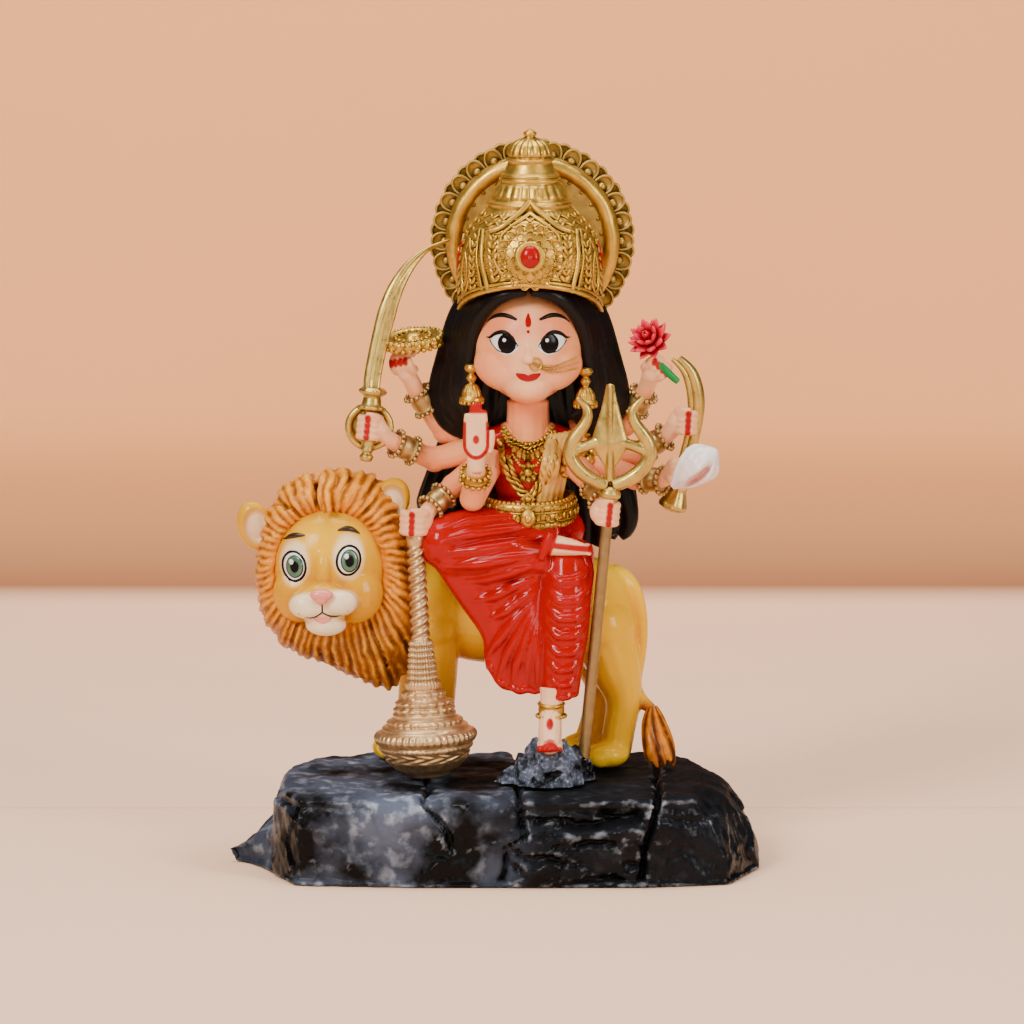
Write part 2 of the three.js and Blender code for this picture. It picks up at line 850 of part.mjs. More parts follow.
// -- arms, hands and cuffs
// The bar of an arm. Where the forearm folds right back, it is a bar of its own.
function armShape({ shoulder, elbow, wrist, fist, folded = false }, hand) {
  const bar = (...stations) => limb(stations, { around: 7, steps: 1 });
  const upper = [shoulder, UPPER_ARM_RADIUS];
  const bend = [elbow, UPPER_ARM_RADIUS * 0.86];
  const lower = [
    [wrist, WRIST_RADIUS],
    [fist.clone().lerp(wrist, 0.4), WRIST_RADIUS * 0.9],
  ];
  const bars = folded ? [bar(upper, bend), bar(bend, ...lower)] : [bar(upper, bend, ...lower)];
  return joined(...bars, ...hand);
}
const fistAt = (at, scale = 1) =>
  ball(at, FIST_RADIUS * scale, FIST_RADIUS * scale * 0.92, FIST_RADIUS * scale * 0.98, {
    around: 8,
    up: 5,
  });
const hands = {
  sword: [fistAt(arms.sword.fist, 1.12)],
  chakra: [
    fistAt(arms.chakra.fist, 0.92),
    limb(
      [
        [from(arms.chakra.fist, 0.8, 0, 1), 1.1],
        [from(arms.chakra.fist, 2.2, 0, 6.4), 0.8],
      ],
      { around: 6, steps: 1 },
    ),
  ],
  blessing: [
    ball(from(arms.blessing.fist, 0, 0, 0.2), 3.7, 1.5, 5.2, { around: 9, up: 6 }),
    ball(from(arms.blessing.fist, 0.2, 0, 4.2), 2.9, 1.2, 4, { around: 8, up: 5 }),
  ],
  mace: [fistAt(arms.mace.fist, 1)],
  trident: [fistAt(arms.trident.fist, 0.9)],
  conch: [fistAt(arms.conch.fist, 1)],
  bow: [fistAt(arms.bow.fist, 0.96)],
  lotus: [fistAt(arms.lotus.fist, 0.96)],
};
for (const [name, arm] of Object.entries(arms)) {
  casting(`arm_${name}`, "arms", SKIN, arm.shoulder, armShape(arm, hands[name]));
  casting(
    `cuff_${name}`,
    "arms",
    GOLD,
    arm.wrist,
    cuff(arm.elbow.clone().lerp(arm.wrist, 0.72), arm.wrist.clone().lerp(arm.fist, 0.16)),
  );
}
const chakraAt = from(arms.chakra.fist, 2.2, -0.5, 4.8);
casting(
  "chakra",
  "attributes",
  GOLD,
  chakraAt,
  turned(
    chakraAt,
    [[0, -0.8], [CHAKRA_RADIUS, -1], [CHAKRA_RADIUS, 1], [CHAKRA_RADIUS * 0.8, 0.5], [0, 0.9]],
    { turn: [0.22, -0.12, 0], around: 16 },
  ),
);

// -- jewellery
casting(
  "belt",
  "body",
  GOLD,
  waist,
  limb(
    [
      [from(waist, 0, -0.3, -0.6), TORSO_RADIUS * 1.16],
      [from(waist, 0, 0, 1.6), TORSO_RADIUS * 0.98],
    ],
    { around: 12, steps: 1, deep: 0.86 },
  ),
);
casting(
  "sash",
  "body",
  SASH,
  from(shoulders, 6, -4, -6),
  limb(
    [
      [from(shoulders, 6.6, -1.4, -2.6), 2.4],
      [from(shoulders, 6.6, -5, -8), 2.2],
      [from(waist, 4.6, -4.6, 4.6), 2.2],
    ],
    { around: 8, steps: 2, deep: 0.9 },
  ),
);
for (const [name, x, z] of [
  ["right_earring", -12.4, -6.2],
  ["left_earring", 12.6, -7],
])
  casting(
    name,
    "body",
    GOLD,
    from(head, x, -3.4, z),
    turned(
      from(head, x, -4.2, z - 4.4),
      [[0, 0], [2.7, 0], [2.4, 1], [1.6, 2.6], [0.9, 4], [0.8, 5], [1.7, 6], [1.7, 7.4], [0, 8.6]],
      { around: 9 },
    ),
  );
casting(
  "choker",
  "body",
  GOLD,
  from(shoulders, 0, -5, -1.4),
  joined(
    limb(
      [
        [from(shoulders, -5.2, -4, 0.4), 0.8],
        [from(shoulders, -2.8, -6.6, -2), 1],
        [from(shoulders, 0, -7.6, -3), 1.2],
        [from(shoulders, 2.8, -6.6, -2), 1],
        [from(shoulders, 5.2, -4, 0.4), 0.8],
      ],
      { around: 6, steps: 1 },
    ),
    ball(from(shoulders, 0, -7.2, -3.4), 2.8, 1.4, 2.4, { around: 8, up: 5 }),
  ),
);
casting(
  "long_necklace",
  "body",
  GOLD,
  from(shoulders, 0, -8, -12),
  joined(
    limb(
      [
        [from(shoulders, -5.4, -5.6, -3.2), 1],
        [from(shoulders, -4.6, -7.4, -8.6), 1.2],
        [from(shoulders, -0.4, -7.6, -13.6), 1.3],
        [from(shoulders, 3.2, -7.4, -9.6), 1.2],
        [from(shoulders, 4.2, -6.8, -4.4), 1],
      ],
      { around: 6, steps: 2 },
    ),
    ball(from(shoulders, -0.2, -7.4, -15), 1.6, 1.1, 2, { around: 6, up: 4 }),
  ),
);

// -- hair
casting(
  "hair_cap",
  "body",
  HAIR,
  from(head, 0, 3, 2),
  without(
    joined(
      ball(from(head, 0, 2.6, 1.4), HEAD_RADIUS + 2, HEAD_RADIUS + 1.4, HEAD_RADIUS + 1.6, {
        around: 12,
        up: 8,
      }),
      limb(
        [
          [from(head, -13, 3, 2), 2.6],
          [from(head, -15.4, 2.4, -8), 3.6],
          [from(head, -13.2, 1, -14.6), 3.8],
        ],
        { around: 7, steps: 1 },
      ),
      limb(
        [
          [from(head, 13, 3, 2), 2.6],
          [from(head, 15.4, 2.4, -8), 3.6],
          [from(head, 13.2, 1, -14.6), 3.8],
        ],
        { around: 7, steps: 1 },
      ),
    ),
    ball(from(head, 0, -11, -4.4), HEAD_RADIUS * 0.9, 9.4, HEAD_RADIUS * 1.36, { around: 12, up: 8 }),
  ),
);
casting(
  "hair_back",
  "body",
  HAIR,
  from(shoulders, 0, 8, -4),
  limb(
    [
      [from(head, 0, 11, 2), 11],
      [from(shoulders, 0, 10, 0), 17],
      [from(waist, 0, 9.6, 8), 22.5],
      [from(waist, 0, 9.2, -2), 19],
    ],
    { around: 12, steps: 1, deep: 0.3 },
  ),
);

// -- crown and halo
const HALO_VALLEY = HALO_RADIUS - HALO_PETAL_RADIUS * 0.3; // where two petals meet
function haloOutline() {
  const outline = [];
  const spot = (angle, reach) =>
    outline.push(new THREE.Vector2(Math.cos(angle) * reach, Math.sin(angle) * reach));
  const half = Math.PI / HALO_PETALS;
  for (let i = 0; i < HALO_PETALS; i++) {
    const middle = 2 * half * i;
    spot(middle - half * 0.62, HALO_RADIUS + HALO_PETAL_RADIUS * 0.3);
    spot(middle, HALO_RADIUS + HALO_PETAL_RADIUS * 0.6);
    spot(middle + half * 0.62, HALO_RADIUS + HALO_PETAL_RADIUS * 0.3);
    spot(middle + half, HALO_VALLEY);
  }
  return outline;
}
// A thick round moulding stands on the front of the disc.
const haloMoulding = (grow) =>
  solidOf(
    new THREE.TorusGeometry(HALO_RING_RADIUS, HALO_RING_TUBE + grow, 5, 20)
      .rotateX(Math.PI / 2)
      .translate(halo.x, halo.y - HALO_THICKNESS / 2 - HALO_RING_TUBE * 0.6, halo.z),
  );
casting(
  "halo",
  "body",
  GOLD,
  halo,
  joined(plate(haloOutline(), HALO_THICKNESS, halo, [Math.PI / 2, 0, 0]), haloMoulding),
);

const crownProfile = [
  [0, 0],
  [CROWN_RADIUS, 0],
  [CROWN_RADIUS * 1.02, 5],
  [CROWN_RADIUS * 0.98, 12],
  [CROWN_RADIUS * 0.84, 19],
  [CROWN_RADIUS * 0.68, 24],
  [CROWN_RADIUS * 0.56, 29],
  [CROWN_RADIUS * 0.44, 35],
  [CROWN_RADIUS * 0.4, 37],
  [CROWN_RADIUS * 0.26, 40],
  [CROWN_RADIUS * 0.08, 41.4],
  [CROWN_RADIUS * 0.06, CROWN_HEIGHT - 0.4],
  [0, CROWN_HEIGHT],
];
// The crown's radius and backward lean at a height above its foot.
function crownAt(height) {
  const next = crownProfile.findIndex(([, z]) => z > height);
  const [[r0, z0], [r1, z1]] = [crownProfile[next - 1], crownProfile[next]];
  const radius = THREE.MathUtils.mapLinear(height, z0, z1, r0, r1);
  return { radius, lean: Math.atan2(r0 - r1, z1 - z0) };
}
// The rim is arched: it rises over the brow and drops behind the ears.
const browArch = ball(from(crownFoot, 0, -CROWN_RADIUS, -2.4), CROWN_RADIUS * 0.98, 12, BROW_ARCH + 2.4, {
  around: 12,
  up: 8,
});
casting(
  "crown",
  "body",
  GOLD,
  crownFoot,
  without(turned(crownFoot, crownProfile, { around: 18 }), browArch),
);
const broochSeat = crownAt(BROOCH_HEIGHT);
const brooch = from(crownFoot, 0, -broochSeat.radius - 0.6, BROOCH_HEIGHT);
casting(
  "crown_rosette",
  "body",
  GOLD,
  brooch,
  turned(
    brooch,
    [[0, -1.6], [BROOCH_RADIUS - 0.4, -1.6], [BROOCH_RADIUS, -0.4], [BROOCH_RADIUS * 0.75, 0.5], [0, 0.7]],
    { turn: [Math.PI / 2 - broochSeat.lean, 0, 0], around: 14 },
  ),
);
casting(
  "crown_gem",
  "body",
  GEM,
  brooch,
  ball(from(brooch, 0, -0.8, 0.2), 2.1, 1.3, 2.4, { around: 9, up: 6 }),
);

// ---------------------------------------------------------------- seating and assembly
// Each casting loses what the earlier ones fill, with the glue clearance round them. Slivers that this
// leaves are broken off.
const apart = (a, b) =>
  [0, 1, 2].some((k) => a.min[k] > b.max[k] || b.min[k] > a.max[k]);
const earlier = [];
for (const { name, group, material, home, shape } of castings) {
  let solid = shape(0);
  for (const cleared of earlier)
    if (!apart(solid.boundingBox(), cleared.boundingBox())) solid = solid.subtract(cleared);
  earlier.push(shape(GAP));
  const body = solid.decompose().reduce((a, b) => (b.volume() > a.volume() ? b : a));
  const mesh = new THREE.Mesh(geometryOf(body).translate(-home.x, -home.y, -home.z), material);
  mesh.name = name;
  mesh.position.copy(home);
  groups[group].add(mesh);
}

export default figurine;
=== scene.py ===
# %% [markdown]
# # A painted deity figurine on a lion
#
# The real object is a small cast-resin idol, about as tall as a hand. Resin is poured into rubber
# moulds, the castings are glued together, and everything is painted by hand: bright gloss enamel on
# cloth and lion, metallic paint with a brown wash on the ornaments, and dry-brushed black on the rock.
#
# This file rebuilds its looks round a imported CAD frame. Most pieces start from a primitive or a
# curve, are shaped like clay, and are finished with modifiers. Sizes are in metres, written as
# millimetres times MM, and places are read from the frame.

# %% Load the frame
import math
import random

import bpy
import numpy as np
from mathutils import Euler, Matrix, Vector, noise


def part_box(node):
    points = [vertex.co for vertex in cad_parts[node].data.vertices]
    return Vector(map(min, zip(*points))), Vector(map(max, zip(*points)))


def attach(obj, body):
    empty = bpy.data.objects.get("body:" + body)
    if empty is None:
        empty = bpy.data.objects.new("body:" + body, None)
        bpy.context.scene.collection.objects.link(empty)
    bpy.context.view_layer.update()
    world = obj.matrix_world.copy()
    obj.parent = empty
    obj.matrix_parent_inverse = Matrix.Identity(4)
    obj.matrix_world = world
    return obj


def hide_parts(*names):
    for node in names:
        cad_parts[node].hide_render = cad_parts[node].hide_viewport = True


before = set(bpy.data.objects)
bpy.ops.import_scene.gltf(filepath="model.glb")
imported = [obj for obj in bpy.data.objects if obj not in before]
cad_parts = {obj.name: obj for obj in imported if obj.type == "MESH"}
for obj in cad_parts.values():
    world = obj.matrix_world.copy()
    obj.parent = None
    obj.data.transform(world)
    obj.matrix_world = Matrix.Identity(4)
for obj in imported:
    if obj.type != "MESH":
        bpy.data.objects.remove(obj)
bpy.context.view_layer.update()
MM = 0.001

# %% [markdown]
# ## Places read from the frame
#
# A point is named by a CAD node and by how far along that node's box it lies, from 0 at the low
# corner to 1 at the high corner, plus a small step in millimetres, so that the pieces follow when the
# CAD part changes. Only the skirt, the sash and the chains are given in millimetres of the frame.

# %% Anchors
def at(node, x=0.5, y=0.5, z=0.5, step=(0, 0, 0)):
    low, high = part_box(node)
    share = Vector((x, y, z))
    return Vector([low[k] + share[k] * (high[k] - low[k]) for k in range(3)]) + Vector(step) * MM


def shift(anchor, x, y, z):
    return anchor + Vector((x, y, z)) * MM


def trail(anchor, *knots):
    """Knots of a roll near an anchor. A knot is given as (x, y, z, radius) in millimetres."""
    return [(shift(anchor, x, y, z), radius) for x, y, z, radius in knots]


head_low, head_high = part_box("head")
HEAD_R = (head_high.x - head_low.x) / 2
head = Vector((head_low.x + HEAD_R, head_low.y + 0.94 * HEAD_R, head_high.z - 0.88 * HEAD_R))
waist = at("torso", 0.5, 0.53, 0.0, (0, 0, 0.3))
shoulders = at("torso", 0.5, 0.53, 1.0, (0, 0, -2.7))
rock_top = at("rock_base", 0.5, 0.5, 1.0)
lion_head = at("lion_face", 0.5, 0.62, 0.46)
crown_foot = at("crown", 0.5, 0.68, 0.0)
ankle = at("anklet", 0.5, 0.5, 0.5)
halo_middle = at("halo", 0.5, 0.7, 0.5)
print("head", [round(v / MM, 1) for v in head], "radius", round(HEAD_R / MM, 1))

# %% [markdown]
# Some steps come back all through the file: clearing the selection, picking one piece, linking a new
# object, and setting the inputs of a shader node. Each is a small function, so that the cells below
# can talk about shapes.

# %% Helpers
def fresh():
    """Object mode, with nothing selected."""
    if bpy.context.mode != "OBJECT":
        bpy.ops.object.mode_set(mode="OBJECT")
    bpy.ops.object.select_all(action="DESELECT")


def pick(piece):
    """Selects one piece and nothing else."""
    fresh()
    piece.select_set(True)
    bpy.context.view_layer.objects.active = piece


def linked(name, data):
    """An object for a mesh, a camera or a lamp, linked to the scene."""
    thing = bpy.data.objects.new(name, data)
    bpy.context.scene.collection.objects.link(thing)
    return thing


def mesh_piece(name, spots, edges, faces):
    """A piece made from points, edges and faces."""
    mesh = bpy.data.meshes.new(name)
    mesh.from_pydata(spots, edges, faces)
    return linked(name, mesh)


def principled(name):
    """A new material, its node tree and its main shader."""
    material = bpy.data.materials.new(name)
    material.use_nodes = True
    return material, material.node_tree, material.node_tree.nodes["Principled BSDF"]


def dial(node, **settings):
    """Sets inputs of a node. An underscore stands for a space, as in From_Min."""
    for name, value in settings.items():
        node.inputs[name.replace("_", " ")].default_value = value


# %% [markdown]
# ## Camera, floor and light
#
# The figurine is seen almost straight from the front and a little from above, through a long lens
# that keeps its proportions.

# %% Camera
CAMERA_HEIGHT_ANGLE = math.radians(9)
CAMERA_DISTANCE = 1.6
FRAME_WIDTH = 0.2255

camera_data = bpy.data.cameras.new("camera")
camera = linked("camera", camera_data)
aim = Vector((3.96, 0, 78.4)) * MM
camera.location = aim + CAMERA_DISTANCE * Vector(
    (0, -math.cos(CAMERA_HEIGHT_ANGLE), math.sin(CAMERA_HEIGHT_ANGLE))
)
camera.rotation_euler = (math.pi / 2 - CAMERA_HEIGHT_ANGLE, 0, 0)
camera_data.lens = camera_data.sensor_width * CAMERA_DISTANCE / FRAME_WIDTH
bpy.context.scene.camera = camera


# %% [markdown]
# The figurine stands on a warm, pale table top. Behind it hangs a narrow sheet of paper that curls up
# into a wall, small enough to leave the view from behind open. Just above the table the paper is
# painted darker: painted shade, where a real sheet turns away from the lamps.

# %% Floor and wall
FLOOR_WIDTH = 5.0
WALL_DISTANCE = 0.36
WALL_WIDTH = 0.30
WALL_HEIGHT = 0.18
WALL_CURVE = 0.03
SEAM = 0.05 * MM
fresh()
bpy.ops.mesh.primitive_plane_add(size=FLOOR_WIDTH, location=(0, 0, -SEAM))
table_top = bpy.context.object
table_top.name = "table_top"
bpy.ops.mesh.primitive_plane_add(size=WALL_WIDTH, location=(aim.x, WALL_DISTANCE - WALL_WIDTH / 2, 0))
backdrop = bpy.context.object
backdrop.name = "backdrop"


def pick_edges(rule):
    """Edit mode, with only the edges picked whose two ends pass the rule."""
    bpy.ops.object.mode_set(mode="EDIT")
    bpy.ops.mesh.select_mode(type="EDGE")
    bpy.ops.mesh.select_all(action="DESELECT")
    bpy.ops.object.mode_set(mode="OBJECT")
    for edge in backdrop.data.edges:
        edge.select = all(rule(backdrop.data.vertices[i].co) for i in edge.vertices)
    bpy.ops.object.mode_set(mode="EDIT")


pick_edges(lambda end: end.y > 0)
bpy.ops.mesh.extrude_region_move(TRANSFORM_OT_translate={"value": (0, 0, WALL_HEIGHT)})
pick_edges(lambda end: end.y > 0 and end.z < SEAM)
bpy.ops.mesh.bevel(offset=WALL_CURVE, segments=12)
bpy.ops.object.mode_set(mode="OBJECT")
bpy.ops.object.shade_smooth()
paper, paper_tree, paper_bsdf = principled("warm_paper")
dial(paper_bsdf, Roughness=0.75)
nodes, links = paper_tree.nodes, paper_tree.links
place = nodes.new("ShaderNodeTexCoord")
split = nodes.new("ShaderNodeSeparateXYZ")
fade = nodes.new("ShaderNodeValToRGB")
links.new(place.outputs["Object"], split.inputs[0])
links.new(split.outputs["Z"], fade.inputs[0])
FLOOR_TINT = (0.98, 0.62, 0.41, 1)
WALL_TINT = (0.93, 0.42, 0.15, 1)
SHADE_TINT = (0.31, 0.12, 0.042, 1)
fade.color_ramp.elements[0].position = 0.0001
fade.color_ramp.elements[0].color = FLOOR_TINT
fade.color_ramp.elements[1].position = 0.048
fade.color_ramp.elements[1].color = WALL_TINT
# painted shade: a darker band of the paper just above the table
shade = fade.color_ramp.elements.new(0.0024)
shade.color = SHADE_TINT
links.new(fade.outputs[0], paper_bsdf.inputs["Base Color"])
for sheet in (table_top, backdrop):
    sheet.data.materials.append(paper)
print("backdrop", len(backdrop.data.polygons), "faces")


# %% [markdown]
# Four soft lamps light it: a strong one high on the left, a weaker one on the right, a low one from
# the front and a wide one above. Gloss paint only looks like gloss when it has something wide and
# bright to mirror.

# %% Lamps
def softbox(name, place, size, power, tint):
    data = bpy.data.lights.new(name, "AREA")
    data.shape = "RECTANGLE"
    data.size, data.size_y = size
    data.energy = power
    data.color = tint
    lamp = linked(name, data)
    lamp.location = place
    lamp.rotation_euler = (aim - Vector(place)).to_track_quat("-Z", "Y").to_euler()
    return lamp


WARM_WHITE = (1.0, 0.98, 0.94)
ROOM_TINT = (1.0, 0.93, 0.86, 1)
ROOM_LIGHT = 0.12
softbox("key_left", (-0.55, -0.75, 0.75), (0.30, 0.42), 12.0, WARM_WHITE)
softbox("fill_right", (0.70, -0.60, 0.45), (0.20, 0.5), 5.4, WARM_WHITE)
softbox("front_low", (0.0, -1.2, 0.30), (0.5, 0.3), 2.2, WARM_WHITE)
softbox("top", (0.0, 0.05, 0.95), (0.8, 0.5), 10.0, (1, 1, 1))
world = bpy.data.worlds.new("studio")
bpy.context.scene.world = world
world.use_nodes = True
dial(world.node_tree.nodes["Background"], Color=ROOM_TINT, Strength=ROOM_LIGHT)
# %% [markdown]
# ## The finishes
#
# A painted casting never has one flat colour. The paint is a little uneven. On the metallic paint a
# brown wash has run into the hollows, and on the rock the ridges are lighter where a dry brush catches
# them. The gloss enamels get painted shade instead: their colour is darkened in the hollows. The
# hollows are found with the ambient occlusion node, the unevenness is noise on object coordinates, and
# a clear coat gives the gloss. Where one casting carries several colours, they are brushed on its
# points as an attribute named paint; some of these brushed coats are painted highlights and painted
# shade.

# %% Paint
def noise_mask(tree, scale, low, high, detail=4.0):
    """A soft 0 to 1 noise mask on object coordinates. Scale is in cells per metre."""
    place = tree.nodes.new("ShaderNodeTexCoord")
    cloud = tree.nodes.new("ShaderNodeTexNoise")
    dial(cloud, Scale=scale, Detail=detail)
    ramp = tree.nodes.new("ShaderNodeMapRange")
    dial(ramp, From_Min=low, From_Max=high)
    tree.links.new(place.outputs["Object"], cloud.inputs["Vector"])
    tree.links.new(cloud.outputs["Fac"], ramp.inputs["Value"])
    return ramp.outputs["Result"]


def hollow_mask(tree, reach, low, high):
    """1 in the open, 0 deep in a hollow."""
    dark = tree.nodes.new("ShaderNodeAmbientOcclusion")
    dark.samples = 6
    dark.only_local = True
    dial(dark, Distance=reach)
    ramp = tree.nodes.new("ShaderNodeMapRange")
    dial(ramp, From_Min=low, From_Max=high)
    tree.links.new(dark.outputs["AO"], ramp.inputs["Value"])
    return ramp.outputs["Result"]


def blend(tree, factor, first, second, mode="MIX"):
    """Mixes two colours, each a socket or an rgb triple."""
    mix = tree.nodes.new("ShaderNodeMix")
    mix.data_type = "RGBA"
    mix.blend_type = mode
    for slot, value in ((0, factor), (6, first), (7, second)):
        if isinstance(value, bpy.types.NodeSocket):
            tree.links.new(value, mix.inputs[slot])
        elif slot:
            mix.inputs[slot].default_value = (*value, 1)
        else:
            mix.inputs[slot].default_value = value
    return mix.outputs[2]


def bump(tree, bsdf, scale, strength, distance, detail=5.0):
    raised = tree.nodes.new("ShaderNodeBump")
    dial(raised, Strength=strength, Distance=distance)
    tree.links.new(noise_mask(tree, scale, 0.0, 1.0, detail), raised.inputs["Height"])
    tree.links.new(raised.outputs["Normal"], bsdf.inputs["Normal"])


def enamel(name, colour, shade, roughness=0.32, coat=0.5, hollow=(1.6 * MM, 0.45, 0.95), attribute=False,
    shine=0.25):
    """Gloss paint: colour in the open, painted shade in the hollows, with a thin clear coat."""
    material, tree, bsdf = principled(name)
    base = colour
    if attribute:
        brush = tree.nodes.new("ShaderNodeAttribute")
        brush.attribute_name = "paint"
        base = brush.outputs["Color"]
    uneven = blend(tree, 0.10, base, (0, 0, 0), "MULTIPLY")
    base = blend(tree, noise_mask(tree, 160, 0.35, 0.65), base, uneven)
    # painted shade: the colour is darkened towards the shade colour in the hollows
    tint = blend(tree, 1.0, base, shade, "MULTIPLY")
    shown = blend(tree, hollow_mask(tree, *hollow), tint, base)
    tree.links.new(shown, bsdf.inputs["Base Color"])
    dial(bsdf, Roughness=roughness, Coat_Weight=coat, Coat_Roughness=0.10, Specular_IOR_Level=shine)
    bump(tree, bsdf, 900, 0.25, 0.10 * MM)
    return material


def antique(name, light, wash, roughness=0.34, reach=1.1 * MM, metal=0.9, coarse=1400, open_from=0.35,
    open_to=0.88):
    """Metallic paint over a carving, with a brown wash left in its hollows."""
    material, tree, bsdf = principled(name)
    worn = blend(tree, 0.35, light, wash)
    open_paint = blend(tree, noise_mask(tree, 420, 0.40, 0.72), light, worn)
    shown = blend(tree, hollow_mask(tree, reach, open_from, open_to), wash, open_paint)
    tree.links.new(shown, bsdf.inputs["Base Color"])
    dial(bsdf, Metallic=metal, Specular_IOR_Level=0.3)
    rough = tree.nodes.new("ShaderNodeMapRange")
    dial(rough, To_Min=roughness - 0.06, To_Max=roughness + 0.16)
    tree.links.new(noise_mask(tree, 600, 0.3, 0.7), rough.inputs["Value"])
    tree.links.new(rough.outputs["Result"], bsdf.inputs["Roughness"])
    bump(tree, bsdf, coarse, 0.35, 0.12 * MM)
    return material


GOLD_LIGHT = (0.68, 0.39, 0.058)
GOLD_WASH = (0.13, 0.065, 0.010)
crown_gold = antique("crown_gold", GOLD_LIGHT, GOLD_WASH)
halo_gold = antique("halo_gold", (0.50, 0.32, 0.075), (0.085, 0.042, 0.008), 0.40)
mace_gold = antique("mace_gold", (0.72, 0.48, 0.24), (0.16, 0.08, 0.03), 0.36)
trident_gold = antique("trident_gold", (0.62, 0.42, 0.10), (0.13, 0.075, 0.015), 0.30, coarse=700)
RED = (0.42, 0.0, 0.0015)
red_enamel = enamel("red_enamel", RED, (0.34, 0.05, 0.05), 0.17, 0.20, shine=0.12)
hair_enamel = enamel("hair_enamel", (0.005, 0.0035, 0.0035), (0.4, 0.4, 0.4), 0.34, 0.03, shine=0.14)
casting_paint = enamel(
    "casting_paint", (1, 1, 1), (0.72, 0.33, 0.22), 0.36, 0.08, attribute=True, shine=0.14
)
lion_paint = enamel(
    "lion_paint", (1, 1, 1), (0.70, 0.34, 0.08), 0.20, 0.10, (3.0 * MM, 0.35, 1.0), True, 0.12
)
print("finishes", len(bpy.data.materials))

# %% [markdown]
# ## Working in clay
#
# Organic castings are built as a sculptor builds them: lumps and rolls of clay are pressed together
# and smoothed over. A lump is a scaled sphere, a roll is a curve with a thickness at each point. The
# voxel remesh fuses them into one skin, as thumbs would, and a smoothing pass rounds the joins.

# %% Lumps, rolls and fusing
def lump(centre, radii, turn=(0, 0, 0), detail=20):
    """An egg-shaped lump. Radii are in millimetres."""
    fresh()
    bpy.ops.mesh.primitive_uv_sphere_add(
        segments=detail, ring_count=detail * 2 // 3, radius=MM, location=centre, rotation=turn
    )
    bpy.context.object.scale = radii
    bpy.ops.object.transform_apply(location=True, rotation=True, scale=True)
    return bpy.context.object


def rolls(paths, sides=2, order=3):
    """Rolls of clay along smooth lines. A path is a list of (point, radius in millimetres)."""
    fresh()
    bpy.ops.curve.primitive_nurbs_path_add(location=(0, 0, 0))
    roll = bpy.context.object
    curve = roll.data
    curve.splines.clear()
    curve.dimensions = "3D"
    curve.bevel_depth = MM
    curve.bevel_resolution = sides
    curve.resolution_u = 6
    curve.use_fill_caps = True
    for path in paths:
        spline = curve.splines.new("NURBS")
        spline.points.add(len(path) - 1)
        for spot, (place, radius) in zip(spline.points, path):
            spot.co = (*place, 1)
            spot.radius = radius
        spline.order_u = min(order, len(path))
        spline.use_endpoint_u = True
    bpy.ops.object.convert(target="MESH")
    return bpy.context.object


def join(name, pieces):
    fresh()
    for piece in pieces:
        piece.select_set(True)
    bpy.context.view_layer.objects.active = pieces[0]
    if len(pieces) > 1:
        bpy.ops.object.join()
    whole = bpy.context.object
    whole.name = whole.data.name = name
    return whole


def modify(piece, kind, **settings):
    """Adds a modifier and applies it."""
    pick(piece)
    modifier = piece.modifiers.new(kind.lower(), kind)
    for key, value in settings.items():
        setattr(modifier, key, value)
    bpy.ops.object.modifier_apply(modifier=modifier.name)
    return piece


def fuse(name, pieces, voxel=0.4, smooth=4):
    """Presses pieces of clay into one skin and smooths it."""
    whole = join(name, pieces)
    modify(whole, "REMESH", mode="VOXEL", voxel_size=voxel * MM, use_smooth_shade=True)
    if smooth:
        modify(whole, "SMOOTH", factor=0.5, iterations=smooth)
    return whole


def points_of(piece):
    spots = np.empty(len(piece.data.vertices) * 3)
    piece.data.vertices.foreach_get("co", spots)
    return spots.reshape(-1, 3)


def normals_of(piece):
    out = np.empty(len(piece.data.vertices) * 3)
    piece.data.vertex_normals.foreach_get("vector", out)
    return out.reshape(-1, 3)


def move_points(piece, spots):
    piece.data.vertices.foreach_set("co", np.ascontiguousarray(spots).ravel())
    piece.data.update()
    return piece


def brush(piece, ground, coats=()):
    """Brushes colours on a piece's points. A coat is (rgb, mask), with a mask from 0 to 1 per point."""
    colours = np.ones((len(piece.data.vertices), 4))
    colours[:, :3] = ground
    for colour, mask in coats:
        mask = np.clip(mask, 0, 1)[:, None]
        colours[:, :3] = colours[:, :3] * (1 - mask) + np.array(colour) * mask
    layer = piece.data.attributes.get("paint") or piece.data.attributes.new("paint", "FLOAT_COLOR", "POINT")
    layer.data.foreach_set("color", colours.ravel())


def egg_mask(spots, centre, radii, soft=0.25):
    """1 inside an egg-shaped region, 0 outside, with a soft edge."""
    reach = np.linalg.norm((spots - np.array(centre)) / (np.array(radii) * MM), axis=1)
    return np.clip((1 + soft / 2 - reach) / soft, 0, 1)


def smoothstep(low, high, value):
    share = np.clip((value - low) / (high - low), 0, 1)
    return share * share * (3 - 2 * share)


def finish(piece, material, slot, *nodes):
    """Gives a finished piece its paint and its body, and hides the CAD nodes that it stands for. The slot
    is not used.
    """
    piece.data.materials.clear()
    piece.data.materials.append(material)
    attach(piece, "root")
    if nodes:
        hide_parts(*nodes)
    low, high = points_of(piece).min(0) / MM, points_of(piece).max(0) / MM
    print(piece.name, len(piece.data.polygons), "faces", low.round(1), high.round(1))
    return piece


# %% [markdown]
# ## Turning and engraving
#
# Ornaments such as the mace, the crown and the bracelets are round, as if turned on a lathe, and then
# cut with beads, ribs and ropes. A profile line is spun round its axis with many steps, and the
# pattern is then pressed in by moving each point in or out by a rule in angle and height.

# %% Turned pieces
def resample(profile, gap):
    """The same line with points at an even spacing."""
    line = [Vector((r, 0, z)) for r, z in profile]
    spots = []
    for a, b in zip(line, line[1:]):
        count = max(1, round((b - a).length / gap))
        spots += [a.lerp(b, i / count) for i in range(count)]
    return spots + [line[-1]]


